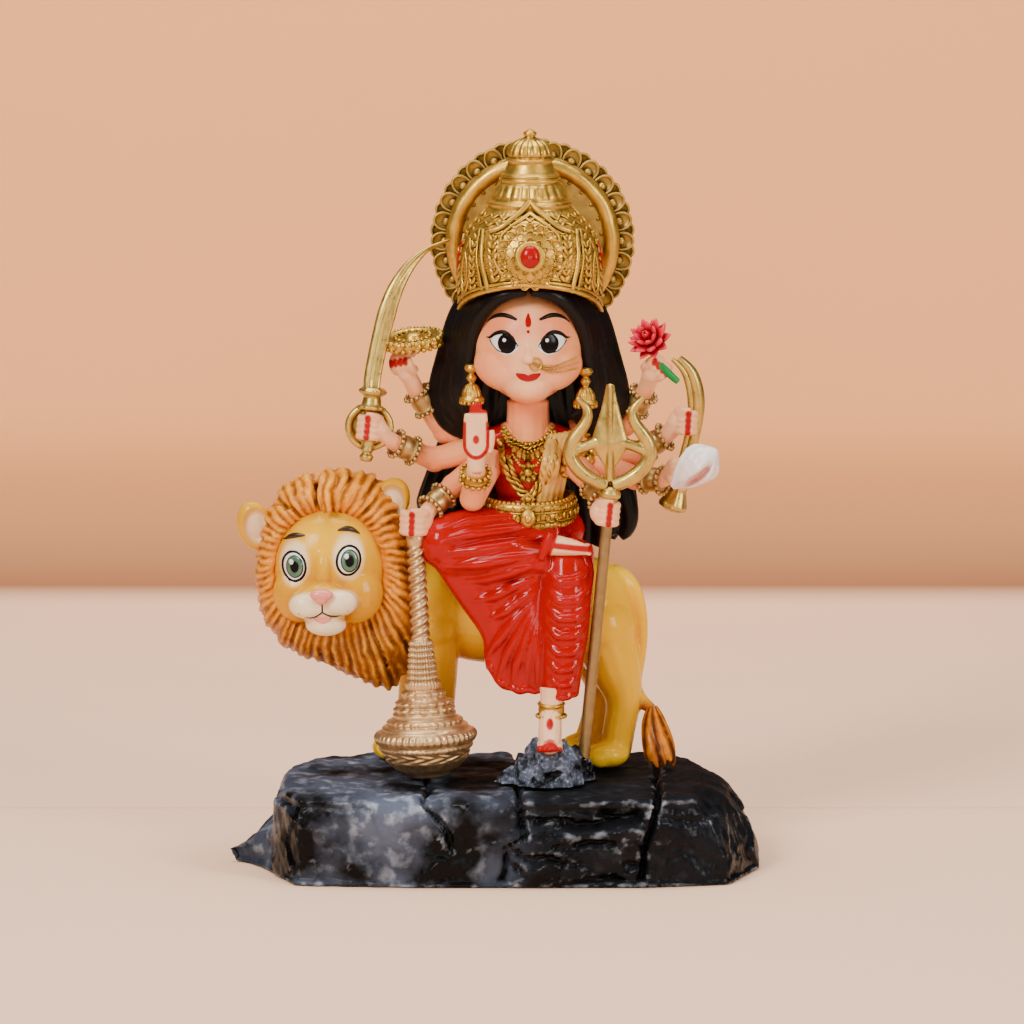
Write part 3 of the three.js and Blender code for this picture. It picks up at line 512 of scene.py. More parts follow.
def turn(name, profile, steps=64, gap=0.5, engrave=None):
    """Spins a profile of (radius, height) in millimetres round Z. Its ends lie on the axis."""
    line = [s * MM for s in resample(profile, gap)]
    piece = mesh_piece(name, line, [(i, i + 1) for i in range(len(line) - 1)], [])
    pick(piece)
    bpy.ops.object.mode_set(mode="EDIT")
    bpy.ops.mesh.select_all(action="SELECT")
    bpy.ops.mesh.spin(steps=steps, angle=2 * math.pi, center=(0, 0, 0), axis=(0, 0, 1))
    bpy.ops.mesh.select_all(action="SELECT")
    bpy.ops.mesh.remove_doubles(threshold=0.002 * MM)
    bpy.ops.mesh.normals_make_consistent(inside=False)
    bpy.ops.object.mode_set(mode="OBJECT")
    bpy.ops.object.shade_smooth()
    if engrave:
        spots = points_of(piece)
        radius = np.hypot(spots[:, 0], spots[:, 1])
        angle = np.arctan2(spots[:, 1], spots[:, 0])
        grown = radius + engrave(angle, spots[:, 2] / MM, radius / MM) * MM * (radius > 0.05 * MM)
        scale = np.where(radius > 0, grown / np.maximum(radius, 1e-9), 1)
        spots[:, 0] *= scale
        spots[:, 1] *= scale
        move_points(piece, spots)
    return piece


def stand(piece, foot, towards=(0, 0, 1)):
    """Puts a piece that was made at the origin on a point, with its Z axis along a direction."""
    lean = Vector((0, 0, 1)).rotation_difference(Vector(towards)).to_matrix().to_4x4()
    piece.data.transform(Matrix.Translation(foot) @ lean)
    return piece


def band(height, low, high, soft=0.25):
    """1 between two heights, 0 outside."""
    return smoothstep(low - soft, low + soft, height) * (1 - smoothstep(high - soft, high + soft, height))
# %% [markdown]
# ## The rock base
#
# The base is a slab of layered rock: a low pointed wedge at one end, split by steep cracks, with broken
# ledges in the middle. It could be built from blocks, but a rock is one lump that has been broken.
# So a merged copy of the CAD slab is remeshed finely, and each point is pushed in by three rules:
# worn unevenness, flat-topped ledges, and narrow cracks.

# %% Rock
def copy_of(name, node):
    """A merged copy of a CAD node's mesh, ready to be worked on."""
    piece = linked(name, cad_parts[node].data.copy())
    pick(piece)
    bpy.ops.object.mode_set(mode="EDIT")
    bpy.ops.mesh.select_all(action="SELECT")
    bpy.ops.mesh.remove_doubles(threshold=0.01 * MM)
    bpy.ops.object.mode_set(mode="OBJECT")
    return piece


def fractal(spots, scale, seed=0.0, octaves=4):
    """Smooth random relief, about -1 to 1."""
    at_seed = Vector((seed, seed * 1.7, -seed))
    return np.array(
        [noise.fractal(Vector(s) * scale + at_seed, 0.8, 2.1, octaves) for s in spots]
    )


def cells(spots, scale, seed=0.0):
    """Random flat facets: the nearest cell's own level, 0 to 1."""
    at_seed = Vector((seed, -seed, seed))
    return np.array([noise.cell(noise.voronoi(Vector(s) * scale + at_seed)[1][0] * 7) for s in spots])


def crack(x, z, knots, width):
    """How deep inside a crack each point is, 0 to 1. Knots are (height, x) pairs in millimetres."""
    heights, places = zip(*knots)
    distance = np.abs(x - np.interp(z, heights, places))
    return np.clip(1 - distance / width, 0, 1) ** 1.5


rock = copy_of("rock_base_carved", "rock_base")
modify(rock, "REMESH", mode="VOXEL", voxel_size=0.62 * MM, use_smooth_shade=True)
low, high = (np.array(v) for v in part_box("rock_base"))
spots = points_of(rock)
tip = smoothstep(-46, -59, spots[:, 0] / MM)
spots[:, 1] *= 1 - 0.80 * tip
spots[:, 2] += (2.6 * MM - spots[:, 2]) * 0.86 * tip * (spots[:, 2] > 0.1 * MM)
spots[:, 0] -= 10 * MM * smoothstep(36, 59, spots[:, 0] / MM) * np.clip(spots[:, 2] / rock_top.z, 0, 1) ** 2
move_points(rock, spots)
modify(rock, "SMOOTH", factor=0.5, iterations=26)
spots, out = points_of(rock), normals_of(rock)
x, y, z = (spots / MM).T
wobble = fractal(spots, 90, 3.0)
side = 1 - smoothstep(0.55, 0.85, out[:, 2])
worn = 0.9 + 0.9 * fractal(spots, 60, 1.0) + 0.35 * fractal(spots, 260, 2.0)
facets = 1.3 * cells(spots * np.array([1, 1, 1.8]), 75, 5.0)
ledge_zone = smoothstep(2, 6, x) * (1 - smoothstep(31, 35, x)) * (y < 0)
step_level = (z + 3.2 * wobble + 0.12 * x) / 4.6
broken = smoothstep(-0.1, 0.35, fractal(spots * np.array([1, 1, 3.2]), 75, 12.0))
ledges = ledge_zone * side * 2.0 * broken * (smoothstep(0.45, 0.7, step_level - np.floor(step_level)))
shelf = ledge_zone * side * smoothstep(12.2, 13.2, z + wobble) * 1.6
cracks = (
    2.6 * crack(x + 1.2 * wobble, z, [(0, -8), (12, -9.5), (20, -15)], 0.9) * (z > 8)
    + 3.2 * crack(x + 1.5 * wobble, z, [(0, 1), (9, 1.5), (11, 7), (20, 5)], 1.0)
    + 3.4 * crack(x + 1.2 * wobble, z, [(0, 31.5), (20, 36)], 1.1)
)
hollows = 2.6 * egg_mask(spots, (0.0275, -0.030, 0.0165), (4.4, 6, 2.4), 0.6)
top_wear = (1 - side) * (0.45 + 0.8 * fractal(spots, 110, 7.0))
push = side * (worn + facets * 0.55) + ledges + shelf + cracks + hollows + top_wear
push *= smoothstep(0.1, 1.2, z)
spots -= out * np.maximum(push, 0)[:, None] * MM
move_points(rock, np.clip(spots, low, high))
modify(rock, "SMOOTH", factor=0.3, iterations=1)

# %% [markdown]
# The paint is black gloss. Grey, a little blue, is dragged over it with an almost dry brush, so it
# stays on broad faces in cloudy patches and on the sharp edges, and never gets into the cracks.

# %% Dry-brushed black
def dry_brushed(name, patch_scale, patches, fade=None):
    material, tree, bsdf = principled(name)
    black, slate, silver = (0.0015, 0.0015, 0.002), (0.085, 0.10, 0.145), (0.44, 0.48, 0.56)
    streaks = noise_mask(tree, patch_scale, *patches, detail=9.0)
    scratch = noise_mask(tree, patch_scale * 5.0, 0.50, 0.72, detail=10.0)
    if fade:
        place = tree.nodes.new("ShaderNodeTexCoord")
        split = tree.nodes.new("ShaderNodeSeparateXYZ")
        ramp = tree.nodes.new("ShaderNodeMapRange")
        tree.links.new(place.outputs["Object"], split.inputs[0])
        tree.links.new(split.outputs["X"], ramp.inputs["Value"])
        dial(ramp, From_Min=fade[0], From_Max=fade[1], To_Min=1.0, To_Max=0.06)
        streaks = blend(tree, 1.0, streaks, ramp.outputs["Result"], "MULTIPLY")
    edges = tree.nodes.new("ShaderNodeNewGeometry")
    ridge = tree.nodes.new("ShaderNodeMapRange")
    dial(ridge, From_Min=0.515, From_Max=0.60)
    tree.links.new(edges.outputs["Pointiness"], ridge.inputs["Value"])
    ground = blend(tree, streaks, black, slate)
    dusty = blend(tree, blend(tree, 0.35, blend(tree, 1.0, streaks, scratch, "MULTIPLY"), (0, 0, 0)),
        ground, silver)
    brushed = blend(tree, blend(tree, 1.0, ridge.outputs["Result"], scratch, "MULTIPLY"), dusty, silver)
    shown = blend(tree, hollow_mask(tree, 2.2 * MM, 0.4, 0.9), black, brushed)
    tree.links.new(shown, bsdf.inputs["Base Color"])
    upward = tree.nodes.new("ShaderNodeSeparateXYZ")
    matt = tree.nodes.new("ShaderNodeMapRange")
    tree.links.new(edges.outputs["Normal"], upward.inputs[0])
    tree.links.new(upward.outputs["Z"], matt.inputs["Value"])
    dial(matt, From_Min=0.45, From_Max=0.9, To_Min=0.27, To_Max=0.80)
    tree.links.new(matt.outputs["Result"], bsdf.inputs["Roughness"])
    dial(bsdf, Specular_IOR_Level=0.10)
    bump(tree, bsdf, 700, 0.5, 0.25 * MM, 8.0)
    return material


rock_paint = dry_brushed("rock_paint", 60, (0.41, 0.66), (-0.006, 0.010))
finish(rock, rock_paint, "stone", "rock_base")

# %% [markdown]
# The standing foot has a little crag of its own. A remeshed copy of its CAD solid gets raised
# shoulders beside the foot and small facets, and is brushed with much more silver than the base.

# %% Crag under the foot
foot_rock_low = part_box("foot_rock")[0]
crag = copy_of("foot_rock_carved", "foot_rock")
modify(crag, "REMESH", mode="VOXEL", voxel_size=0.35 * MM, use_smooth_shade=True)
spots, out = points_of(crag), normals_of(crag)
foot_side = np.abs(spots[:, 0] - at("standing_foot").x) / MM
shoulder = smoothstep(1.5, 3.0, foot_side) * smoothstep(9.0, 5.0, foot_side)
spots[:, 2] += 0.30 * (spots[:, 2] - foot_rock_low.z) * shoulder
push = 0.2 + 1.3 * cells(spots, 330, 2.0) + 0.5 * fractal(spots, 420, 4.0)
above_foot = smoothstep(0, 1.0, (spots[:, 2] - foot_rock_low.z) / MM)
spots -= out * np.maximum(push, 0)[:, None] * MM * above_foot[:, None]
move_points(crag, spots)
modify(crag, "SMOOTH", factor=0.4, iterations=1)
finish(crag, dry_brushed("crag_paint", 240, (0.36, 0.60)), "stone", "foot_rock")
# %% [markdown]
# ## The mace
#
# A tall Indian club mace stands on the rock under a hand: an engraved bowl, a ribbed flange at the
# widest point, a bell of stacked rings and beads, and a handle twisted like rope. It is one turned
# piece, so the profile gives the rings, and the engraving rule gives ribs, beads and twist.

# %% Mace
mace_low, mace_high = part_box("mace")
mace_foot = Vector(((mace_low.x + mace_high.x) / 2 + 0.5 * MM, mace_low.y + 11.2 * MM, mace_low.z))
mace_hand = at("arm_mace", 0.16, 0.22, 0.2)
MACE_LENGTH = (mace_hand - mace_foot).length / MM


def rings(low, high, inner, outer, count):
    """A stack of rounded rings that tapers from inner to outer radius."""
    line = []
    for i in range(count):
        for share in (0.0, 0.25, 0.5, 0.75):
            t = (i + share) / count
            swell = 0.45 * math.sin(math.pi * share)
            line.append((inner + (outer - inner) * t + swell, low + (high - low) * t))
    return line


mace_profile = [
    (0, 0.1), (3.4, 0.1), (4.6, 0.5), (4.8, 1.0), (7.0, 2.2), (8.6, 3.7), (9.0, 4.1), (9.1, 4.5),
    (9.9, 6.2), (10.3, 7.4), (10.1, 7.7), (10.6, 8.0), (11.1, 8.9), (11.15, 9.6), (10.7, 10.3),
    (9.6, 10.9), (9.5, 11.5), (8.9, 11.9), (8.2, 12.2), (8.3, 12.8), (7.6, 13.3), (6.9, 13.6),
    (7.0, 14.4), (6.4, 14.8), (6.3, 15.6), (5.7, 16.0), (5.9, 17.0), (5.0, 17.5), (4.4, 18.2),
    (4.6, 19.0), (3.6, 19.6), (3.7, 21.2), (3.2, 21.6), *rings(21.8, 30.5, 2.9, 2.1, 7),
    (1.9, 31), (1.75, MACE_LENGTH - 6), (1.9, MACE_LENGTH - 5.5), (2.1, MACE_LENGTH - 4.5),
    (1.5, MACE_LENGTH), (0, MACE_LENGTH),
]


def mace_pattern(angle, height, radius):
    flange = 0.30 * np.cos(44 * angle) * band(height, 7.9, 10.4)
    small_beads = 0.30 * np.abs(np.cos(26 * angle)) * band(height, 6.5, 7.3, 0.2)
    scroll = 0.22 * np.sin(14 * angle + 2.2 * np.sin(3.1 * height)) * band(height, 4.5, 6.2, 0.3)
    zigzag = 0.16 * np.sign(np.sin(20 * angle)) * band(height, 2.2, 3.6, 0.3)
    big_beads = 0.55 * np.abs(np.cos(8 * angle)) * band(height, 15.0, 16.0, 0.3)
    tall_beads = 0.5 * np.abs(np.cos(8 * angle)) * band(height, 16.2, 17.3, 0.3)
    leaves = 0.4 * np.abs(np.cos(7 * angle)) * band(height, 18.0, 19.4, 0.3)
    fine = 0.22 * np.abs(np.cos(14 * angle)) * band(height, 19.8, 30.5, 0.3)
    bell = 0.20 * np.cos(30 * angle) * band(height, 12.2, 13.0, 0.2)
    twist = 0.30 * np.sin(3 * angle - 3.3 * height) * band(height, 31, MACE_LENGTH - 6, 0.4)
    return flange + small_beads + scroll + zigzag + big_beads + tall_beads + leaves + fine + bell + twist


mace = turn("mace_turned", mace_profile, 176, 0.22, mace_pattern)
stand(mace, mace_foot, mace_hand - mace_foot)
finish(mace, mace_gold, "antique_gold", "mace")
# %% [markdown]
# ## Things that repeat
#
# Beads, petals and leaves are modelled once as a small motif. Copies are then set in place, each with
# its own points, and joined into one piece, as a jeweller solders a row of the same stamping.

# %% Motifs and rows
def bead_motif():
    fresh()
    bpy.ops.mesh.primitive_ico_sphere_add(subdivisions=2, radius=1)
    return bpy.context.object


def repeat(name, motif, places):
    """One mesh made of copies of a motif, one for each 4x4 matrix."""
    corners = points_of(motif)
    faces = [tuple(f.vertices) for f in motif.data.polygons]
    spots, polygons = [], []
    for place in places:
        matrix = np.array(place)
        polygons += [tuple(i + len(spots) * len(corners) for i in f) for f in faces]
        spots.append(corners @ matrix[:3, :3].T + matrix[:3, 3])
    row = mesh_piece(name, np.concatenate(spots).tolist(), [], polygons)
    pick(row)
    bpy.ops.object.shade_smooth()
    return row


def smooth_line(knots, gap):
    """Points about gap millimetres apart on a smooth curve through the knots."""
    knots = np.array([tuple(k) for k in knots])
    padded = np.vstack([2 * knots[0] - knots[1], knots, 2 * knots[-1] - knots[-2]])
    fine = []
    for a, b, c, d in zip(padded, padded[1:], padded[2:], padded[3:]):
        for t in np.linspace(0, 1, 24, endpoint=False):
            fine.append(
                0.5 * (2 * b + (c - a) * t + (2 * a - 5 * b + 4 * c - d) * t**2
                    + (3 * b - a - 3 * c + d) * t**3)
            )
    fine = np.array(fine + [knots[-1]])
    reach = np.concatenate([[0], np.cumsum(np.linalg.norm(np.diff(fine, axis=0), axis=1))])
    count = max(2, round(reach[-1] / (gap * MM)) + 1)
    even = np.linspace(0, reach[-1], count)
    return np.column_stack([np.interp(even, reach, fine[:, k]) for k in range(3)])


def bead_row(name, knots, radius, gap=None, ends=1.0):
    """Round beads strung along a smooth line."""
    line = smooth_line(knots, gap or radius * 1.75)
    motif = bead_motif()
    places = []
    for i, spot in enumerate(line):
        share = abs(2 * i / (len(line) - 1) - 1)
        size = radius * MM * (1 + (ends - 1) * share)
        places.append(Matrix.Translation(spot) @ Matrix.Scale(size, 4))
    row = repeat(name, motif, places)
    bpy.data.objects.remove(motif)
    return row


def bead_rings(name, rings):
    """Beads in level rings round Z. A ring is (radius, height, bead radius, number of beads)."""
    motif = bead_motif()
    places = []
    for reach, level, size, count in rings:
        for i in range(count):
            t = 2 * math.pi * i / count
            spot = (reach * math.cos(t) * MM, reach * math.sin(t) * MM, level * MM)
            places.append(Matrix.Translation(spot) @ Matrix.Scale(size * MM, 4))
    row = repeat(name, motif, places)
    bpy.data.objects.remove(motif)
    return row


# %% [markdown]
# ## The crown
#
# A tall domed crown in tiers: a broad rim that arches up over the brow, a drum covered with filigree,
# a pointed arch over a rosette with a red stone, a tier of small arches, double rings, and a fluted
# dome with a bead on top. The tiers are turned; the filigree is wire laid on the surface.

# %% Crown body
CROWN_TOP = (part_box("crown")[1].z - crown_foot.z) / MM
BROW_RISE = 10.2
crown_outside = [
    (15.6, 0), (16.2, 0.2), (16.3, 1.0), (15.7, 1.5), (15.8, 6), (15.9, 12), (15.6, 16), (14.6, 19),
    (12.9, 21.8), (11.3, 23.6), (9.8, 24.9), (9.0, 26), (9.3, 26.4), (9.3, 27.0), (8.4, 27.4), (8.2, 28),
    (6.5, 31.5), (6.8, 31.8), (6.7, 32.2), (6.2, 32.4), (6.5, 32.7), (6.3, 33.1), (5.7, 33.3), (4.8, 35.7),
    (5.3, 36.0), (5.3, 36.5), (4.5, 36.8), (4.7, 37.4), (4.5, 38.4), (3.8, 39.6), (2.4, 40.6), (1.4, 41.0),
    (1.1, 41.3), (1.5, 41.7), (1.4, 42.2), (0.7, 42.6), (0, CROWN_TOP),
]
crown_inside = [(0, 22), (8, 21), (12, 15), (13.8, 8), (14.2, 0.6)]


def rim_rise(angle):
    """How high the rim stands at an angle from the front."""
    return BROW_RISE * np.clip(1 - (np.abs(angle) / 1.55) ** 1.7, 0, 1) ** 0.75


def crown_pattern(angle, height, radius):
    flutes = 0.38 * np.abs(np.cos(8 * angle)) * band(height, 37.0, 40.6, 0.3)
    arches = 0.42 * np.abs(np.cos(11 * angle)) ** 0.6 * band(height, 28.2, 30.9, 0.3)
    drum = band(height, 2, 25.5, 0.6) * (radius > 14.9 - np.maximum(height - 17, 0))
    lattice = 0.20 * np.sin(26 * angle + 2.4 * height) * np.sin(26 * angle - 2.4 * height) * drum
    return flutes + arches + lattice


crown = turn("crown_body", crown_inside + crown_outside, 160, 0.4, crown_pattern)
spots = points_of(crown)
angle = np.arctan2(spots[:, 0], -spots[:, 1])
low_part = np.clip(1 - spots[:, 2] / MM / 17, 0, 1)
spots[:, 2] += rim_rise(angle) * low_part * MM
move_points(crown, spots + np.array(crown_foot))
outside_heights = [h for _, h in crown_outside]
outside_radii = [r for r, _ in crown_outside]


def crown_spot(angle, height, lift=0.0):
    """A point on the crown's outside, at an angle from the front and a height in millimetres."""
    radius = np.interp(height, outside_heights, outside_radii) + lift
    return shift(crown_foot, radius * math.sin(angle), -radius * math.cos(angle), height)


# %% [markdown]
# The filigree is bent from wires that lie on the crown's outside: the pointed arch, side panels with
# diamonds, zigzag rows and the two edges of the rim. Rows of small leaves fill what is between them.

# %% Filigree
def wire(route, radius, lift=0.0):
    return [(crown_spot(a, h, lift), radius) for a, h in route]


wires = []
for s in (-1, 1):
    wires.append(wire([(0, 27.9), (0.14 * s, 26.2), (0.38 * s, 24.0), (0.52 * s, 22.2),
                (0.70 * s, 21.6)], 0.75, 0.3))
    wires.append(wire([(0, 25.4), (0.18 * s, 24.0), (0.38 * s, 22.3), (0.50 * s, 20.4), (0.44 * s, 19)],
            0.5, 0.2))
    for offset, radius in ((0, 0.55), (0.10, 0.35)):
        line = [(0.60, 8.4), (0.66, 12), (0.74, 16), (0.80, 19.6), (0.88, 21.6)]
        wires.append(wire([((a + offset) * s, h) for a, h in line], radius, 0.2))
    for panel in (1.12, 1.62):
        for grow, radius in ((1.0, 0.42), (0.62, 0.32)):
            diamond = [(0, 8), (0.19, 2), (0, -6), (-0.19, 2), (0, 8)]
            wires.append(wire([((panel + a * grow) * s, 11.5 + h * grow) for a, h in diamond], radius, 0.2))
    wires.append(wire([(0.12 * s, 11.4), (0.3 * s, 11.9), (0.46 * s, 13.6), (0.52 * s, 16)], 0.45, 0.2))
for row, height in enumerate((21.4, 22.9, 24.4)):
    count = 44
    zigzag = [
        (2 * math.pi * i / count, height + (0.75 if i % 2 else -0.75)) for i in range(count + 1)
    ]
    wires.append(wire(zigzag, 0.30, 0.12))
rim_angles = [2 * math.pi * i / 72 - math.pi for i in range(73)]
for above, radius in ((0.5, 0.62), (2.4, 0.42)):
    edge = [(a, float(rim_rise(a)) * (1 - above / 17) + above) for a in rim_angles]
    wires.append(wire(edge, radius, 0.15))
filigree = rolls(wires, 2)
leaves = []
leaf = lump((0, 0, 0), (0.55, 0.34, 1.05), detail=10)
for s in (-1, 1):
    for a0, h0, a1, h1, count in ((0.50, 11.6, 0.62, 20, 7), (0.92, 9, 0.98, 20, 8),
        (1.37, 4, 1.37, 20, 10)):
        for i in range(count):
            t = i / (count - 1)
            for lean in (-1, 1):
                a, h = a0 + (a1 - a0) * t + 0.035 * lean, h0 + (h1 - h0) * t
                spin = Matrix.Rotation(a * s, 4, "Z") @ Matrix.Rotation(0.7 * lean * s, 4, "Y")
                leaves.append(Matrix.Translation(crown_spot(a * s, h, 0.1)) @ spin)
for i in range(60):
    a = 2 * math.pi * i / 60
    h = float(rim_rise(a if a < math.pi else a - 2 * math.pi)) * (1 - 1.5 / 17) + 1.5
    leaves.append(Matrix.Translation(crown_spot(a, h, 0.1)) @ Matrix.Scale(0.62, 4))
leaf_rows = repeat("crown_leaves", leaf, leaves)
bpy.data.objects.remove(leaf)
crown = join("crown_body", [crown, filigree, leaf_rows])
finish(crown, crown_gold, "antique_gold", "crown")

# %% [markdown]
# The rosette is three rings of petals round an oval stone. A petal is a dished scale with a raised
# edge, so that the wash settles in its middle. On each side of the crown is a sliver of red enamel.

# %% Rosette and stone
rosette_middle = at("crown_rosette", 0.5, 0.35, 0.5)


def petal_motif(length, width, thick):
    """A dished oval petal that faces -Y, with a raised rim."""
    fresh()
    bpy.ops.mesh.primitive_cylinder_add(vertices=18, radius=MM, depth=thick * MM,
        rotation=(math.pi / 2, 0, 0))
    petal = bpy.context.object
    petal.scale = (width, length, 1)
    bpy.ops.object.transform_apply(location=False, rotation=True, scale=True)
    bpy.ops.object.mode_set(mode="EDIT")
    bpy.ops.mesh.select_mode(type="FACE")
    bpy.ops.mesh.select_all(action="DESELECT")
    bpy.ops.object.mode_set(mode="OBJECT")
    for face in petal.data.polygons:
        face.select = face.normal.y < -0.9
    bpy.ops.object.mode_set(mode="EDIT")
    bpy.ops.mesh.inset(thickness=0.24 * min(length, width) * MM)
    bpy.ops.mesh.extrude_region_move(TRANSFORM_OT_translate={"value": (0, 0.45 * thick * MM, 0)})
    bpy.ops.object.mode_set(mode="OBJECT")
    modify(petal, "BEVEL", width=0.10 * MM, segments=1, limit_method="ANGLE")
    return petal


lean = 0.16
face_front = Matrix.Translation(rosette_middle) @ Matrix.Rotation(-lean, 4, "X")
petal = petal_motif(1.25, 1.0, 0.9)
places = []
for count, reach, size, depth in ((17, 6.1, 1.05, 0.5), (14, 4.7, 0.95, 0.0), (11, 3.3, 0.8, -0.5)):
    for i in range(count):
        spin = Matrix.Rotation(2 * math.pi * i / count, 4, "Y")
        places.append(
            face_front @ spin @ Matrix.Translation((0, depth * MM, reach * MM)) @ Matrix.Scale(size, 4)
        )
rosette = repeat("rosette_petals", petal, places)
bpy.data.objects.remove(petal)
dish = turn("rosette_dish", [(0, -0.8), (5.4, -0.8), (5.6, 0), (3.4, 0.7), (3.2, 1.2), (2.6, 1.2),
        (0, 0.8)], 40, 0.4)
dish.data.transform(face_front @ Matrix.Rotation(math.pi / 2, 4, "X"))
rosette = join("rosette_petals", [rosette, dish])
finish(rosette, crown_gold, "antique_gold", "crown_rosette")
gem = lump((0, 0, 0), (2.15, 1.3, 2.5), detail=32)
gem.name = "red_stone"
gem.data.transform(face_front @ Matrix.Translation((0, -1.2 * MM, 0)))
gem_paint = enamel("gem_paint", (0.36, 0.0, 0.003), (0.5, 0.2, 0.2), 0.16, 0.2, shine=0.12)
finish(gem, gem_paint, "gem_red", "crown_gem")

SLIVER_HEIGHTS = (12.5, 14, 15.5, 17, 18.5)
SLIVER_ANGLE = 1.35
slivers = rolls([
        [(crown_spot(s * SLIVER_ANGLE, h, 0.35), 0.32 * (1.3 - abs(h - 15.5) / 5)) for h in SLIVER_HEIGHTS]
        for s in (-1, 1)
    ])
slivers.name = "crown_side_enamel"
finish(slivers, gem_paint, "gem_red")

# %% [markdown]
# ## The halo
#
# Behind the crown stands a disc with a scalloped edge: rows of petals, each with a round bead, in two
# layers, and a thick round moulding that frames the crown. Petals and beads are motifs set in rings.

# %% Halo
halo_low, halo_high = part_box("halo")
HALO_EDGE = (halo_high.x - halo_low.x) / 2 / MM
petal = petal_motif(2.7, 2.15, 1.3)
bead = bead_motif()
petals, beads = [], []
for layer, (reach, depth, shift_share, size) in enumerate(
    ((HALO_EDGE - 2.8, 0.6, 0.0, 1.0), (HALO_EDGE - 2.6, 1.7, 0.5, 1.0), (HALO_EDGE - 7.0, 0.1, 0.5, 0.8))
):
    for i in range(28):
        spin = Matrix.Rotation(2 * math.pi * (i + shift_share) / 28, 4, "Y")
        home = Matrix.Translation(halo_middle) @ spin @ Matrix.Translation((0, depth * MM, reach * MM))
        petals.append(home @ Matrix.Scale(size, 4))
        if layer != 1:
            beads.append(home @ Matrix.Translation((0, -0.35 * MM, -0.3 * MM))
                @ Matrix.Scale(0.95 * size * MM, 4))
scallops = repeat("halo_scallops", petal, petals)
studs = repeat("halo_studs", bead, beads)
bpy.data.objects.remove(petal)
bpy.data.objects.remove(bead)
disc = turn(
    "halo_disc",
    [(0, -1.1), (6, -1.1), (6.3, -0.8), (9, -0.8), (9.4, -1.2), (10, -0.8), (16, -0.7), (18.6, -0.6),
        (19.4, 0), (18.6, 0.7), (12, 0.8), (11, 1.2), (10, 0.8), (0, 0.9)],
    96,
    0.5,
)
disc.data.transform(Matrix.Translation(halo_middle) @ Matrix.Rotation(math.pi / 2, 4, "X"))
halo = join("halo_petals", [disc, scallops, studs])
finish(halo, halo_gold, "antique_gold", "halo")
fresh()
bpy.ops.mesh.primitive_torus_add(
    location=halo_middle + Vector((0, -2.0 * MM, 0)),
    rotation=(math.pi / 2, 0, 0),
    major_segments=120,
    minor_segments=20,
    major_radius=17.4 * MM,
    minor_radius=1.75 * MM,
)
bpy.ops.object.transform_apply(location=True, rotation=True, scale=True)
moulding = bpy.context.object
moulding.name = "halo_moulding"
bpy.ops.object.shade_smooth()
spots = points_of(moulding)
move_points(moulding, spots + normals_of(moulding) * (0.12 * fractal(spots, 420, 9.0))[:, None] * MM)
finish(moulding, crown_gold, "antique_gold")
print("halo edge", round(HALO_EDGE, 1))
# %% [markdown]
# ## The head
#
# The face is a round, calm doll's face of a plain design: a wide egg with full cheeks, a small chin
# and a button nose. It is pressed from lumps, narrowed towards the chin by moving its points, and the
# blush on lids and cheeks is brushed on, with a painted highlight down the middle of the face and
# painted shade under the chin. Eyes, brows and lips are painted: each is a thin patch of paint that
# lies on the face, made by casting a flat outline onto it.

# %% Head and neck
SKIN = (0.96, 0.36, 0.14)
HIGHLIGHT_AND_PALE_SKIN = (0.98, 0.56, 0.32)
BLUSH_AND_SHADE = (0.84, 0.17, 0.07)


def by_head(x, y, z):
    return shift(head, x, y, z)


skull = [
    lump(head, (12.5, 11.6, 12.8), detail=40),
    lump(by_head(5.6, -4.4, -4.0), (6.4, 5.6, 6.0)),
    lump(by_head(-5.6, -4.4, -4.0), (6.4, 5.6, 6.0)),
    lump(by_head(0, -5.6, -8.6), (6.2, 4.6, 4.0)),
    lump(by_head(0, -11.6, -2.0), (1.25, 1.2, 1.1)),
    lump(by_head(0, -11.0, -0.2), (0.8, 1.2, 2.2)),
    rolls([[(by_head(0, 2.0, -8), 4.9), (by_head(0, 2.4, -14), 4.3),
            (shift(shoulders, 0, 0.2, -2.5), 5.2)]], 5),
]
face = fuse("face_and_neck", skull, 0.30, 9)
spots = points_of(face)
height = (spots[:, 2] - head.z) / MM
narrow = 1 - 0.13 * smoothstep(-4, -13, height) * (height > -14.5)
spots[:, 0] = head.x + (spots[:, 0] - head.x) * np.where(height > -13, narrow, 1)
move_points(face, spots)
brush(
    face,
    SKIN,
    [
        # painted highlight: paler skin down the nose ridge, and round the mouth and chin
        (HIGHLIGHT_AND_PALE_SKIN, 0.55 * egg_mask(spots, by_head(0, -11, 3), (3.4, 6, 9), 0.9)),
        (HIGHLIGHT_AND_PALE_SKIN, 0.55 * egg_mask(spots, by_head(0, -10, -6), (8, 6, 4.5), 0.9)),
        (BLUSH_AND_SHADE, 0.55 * egg_mask(spots, by_head(5.4, -9, 4.6), (4.6, 6, 3.0), 1.1)),
        (BLUSH_AND_SHADE, 0.55 * egg_mask(spots, by_head(-5.4, -9, 4.6), (4.6, 6, 3.0), 1.1)),
        (BLUSH_AND_SHADE, 0.30 * egg_mask(spots, by_head(8.4, -7, -4.4), (4.2, 6, 3.4), 1.2)),
        (BLUSH_AND_SHADE, 0.30 * egg_mask(spots, by_head(-8.4, -7, -4.4), (4.2, 6, 3.4), 1.2)),
        # painted shade under the chin
        (BLUSH_AND_SHADE, 0.45 * egg_mask(spots, by_head(0, -2, -14.5), (6.5, 8, 3.0), 1.0)),
    ],
)
finish(face, casting_paint, "skin", "head")


# %% [markdown]
# A painted mark is a fan of shrinking outlines. Each point is cast along Y onto the surface below and
# lifted by a hair, so that the paint hugs the form, and a thin solid wall closes it behind.

# %% Painted marks
def cast(target, x, z, side=-1):
    """The point where a line along Y first meets the target."""
    hit, spot, out, _ = target.ray_cast(Vector((x, side * 0.5, z)), Vector((0, -side, 0)))
    return (spot, out) if hit else (None, None)


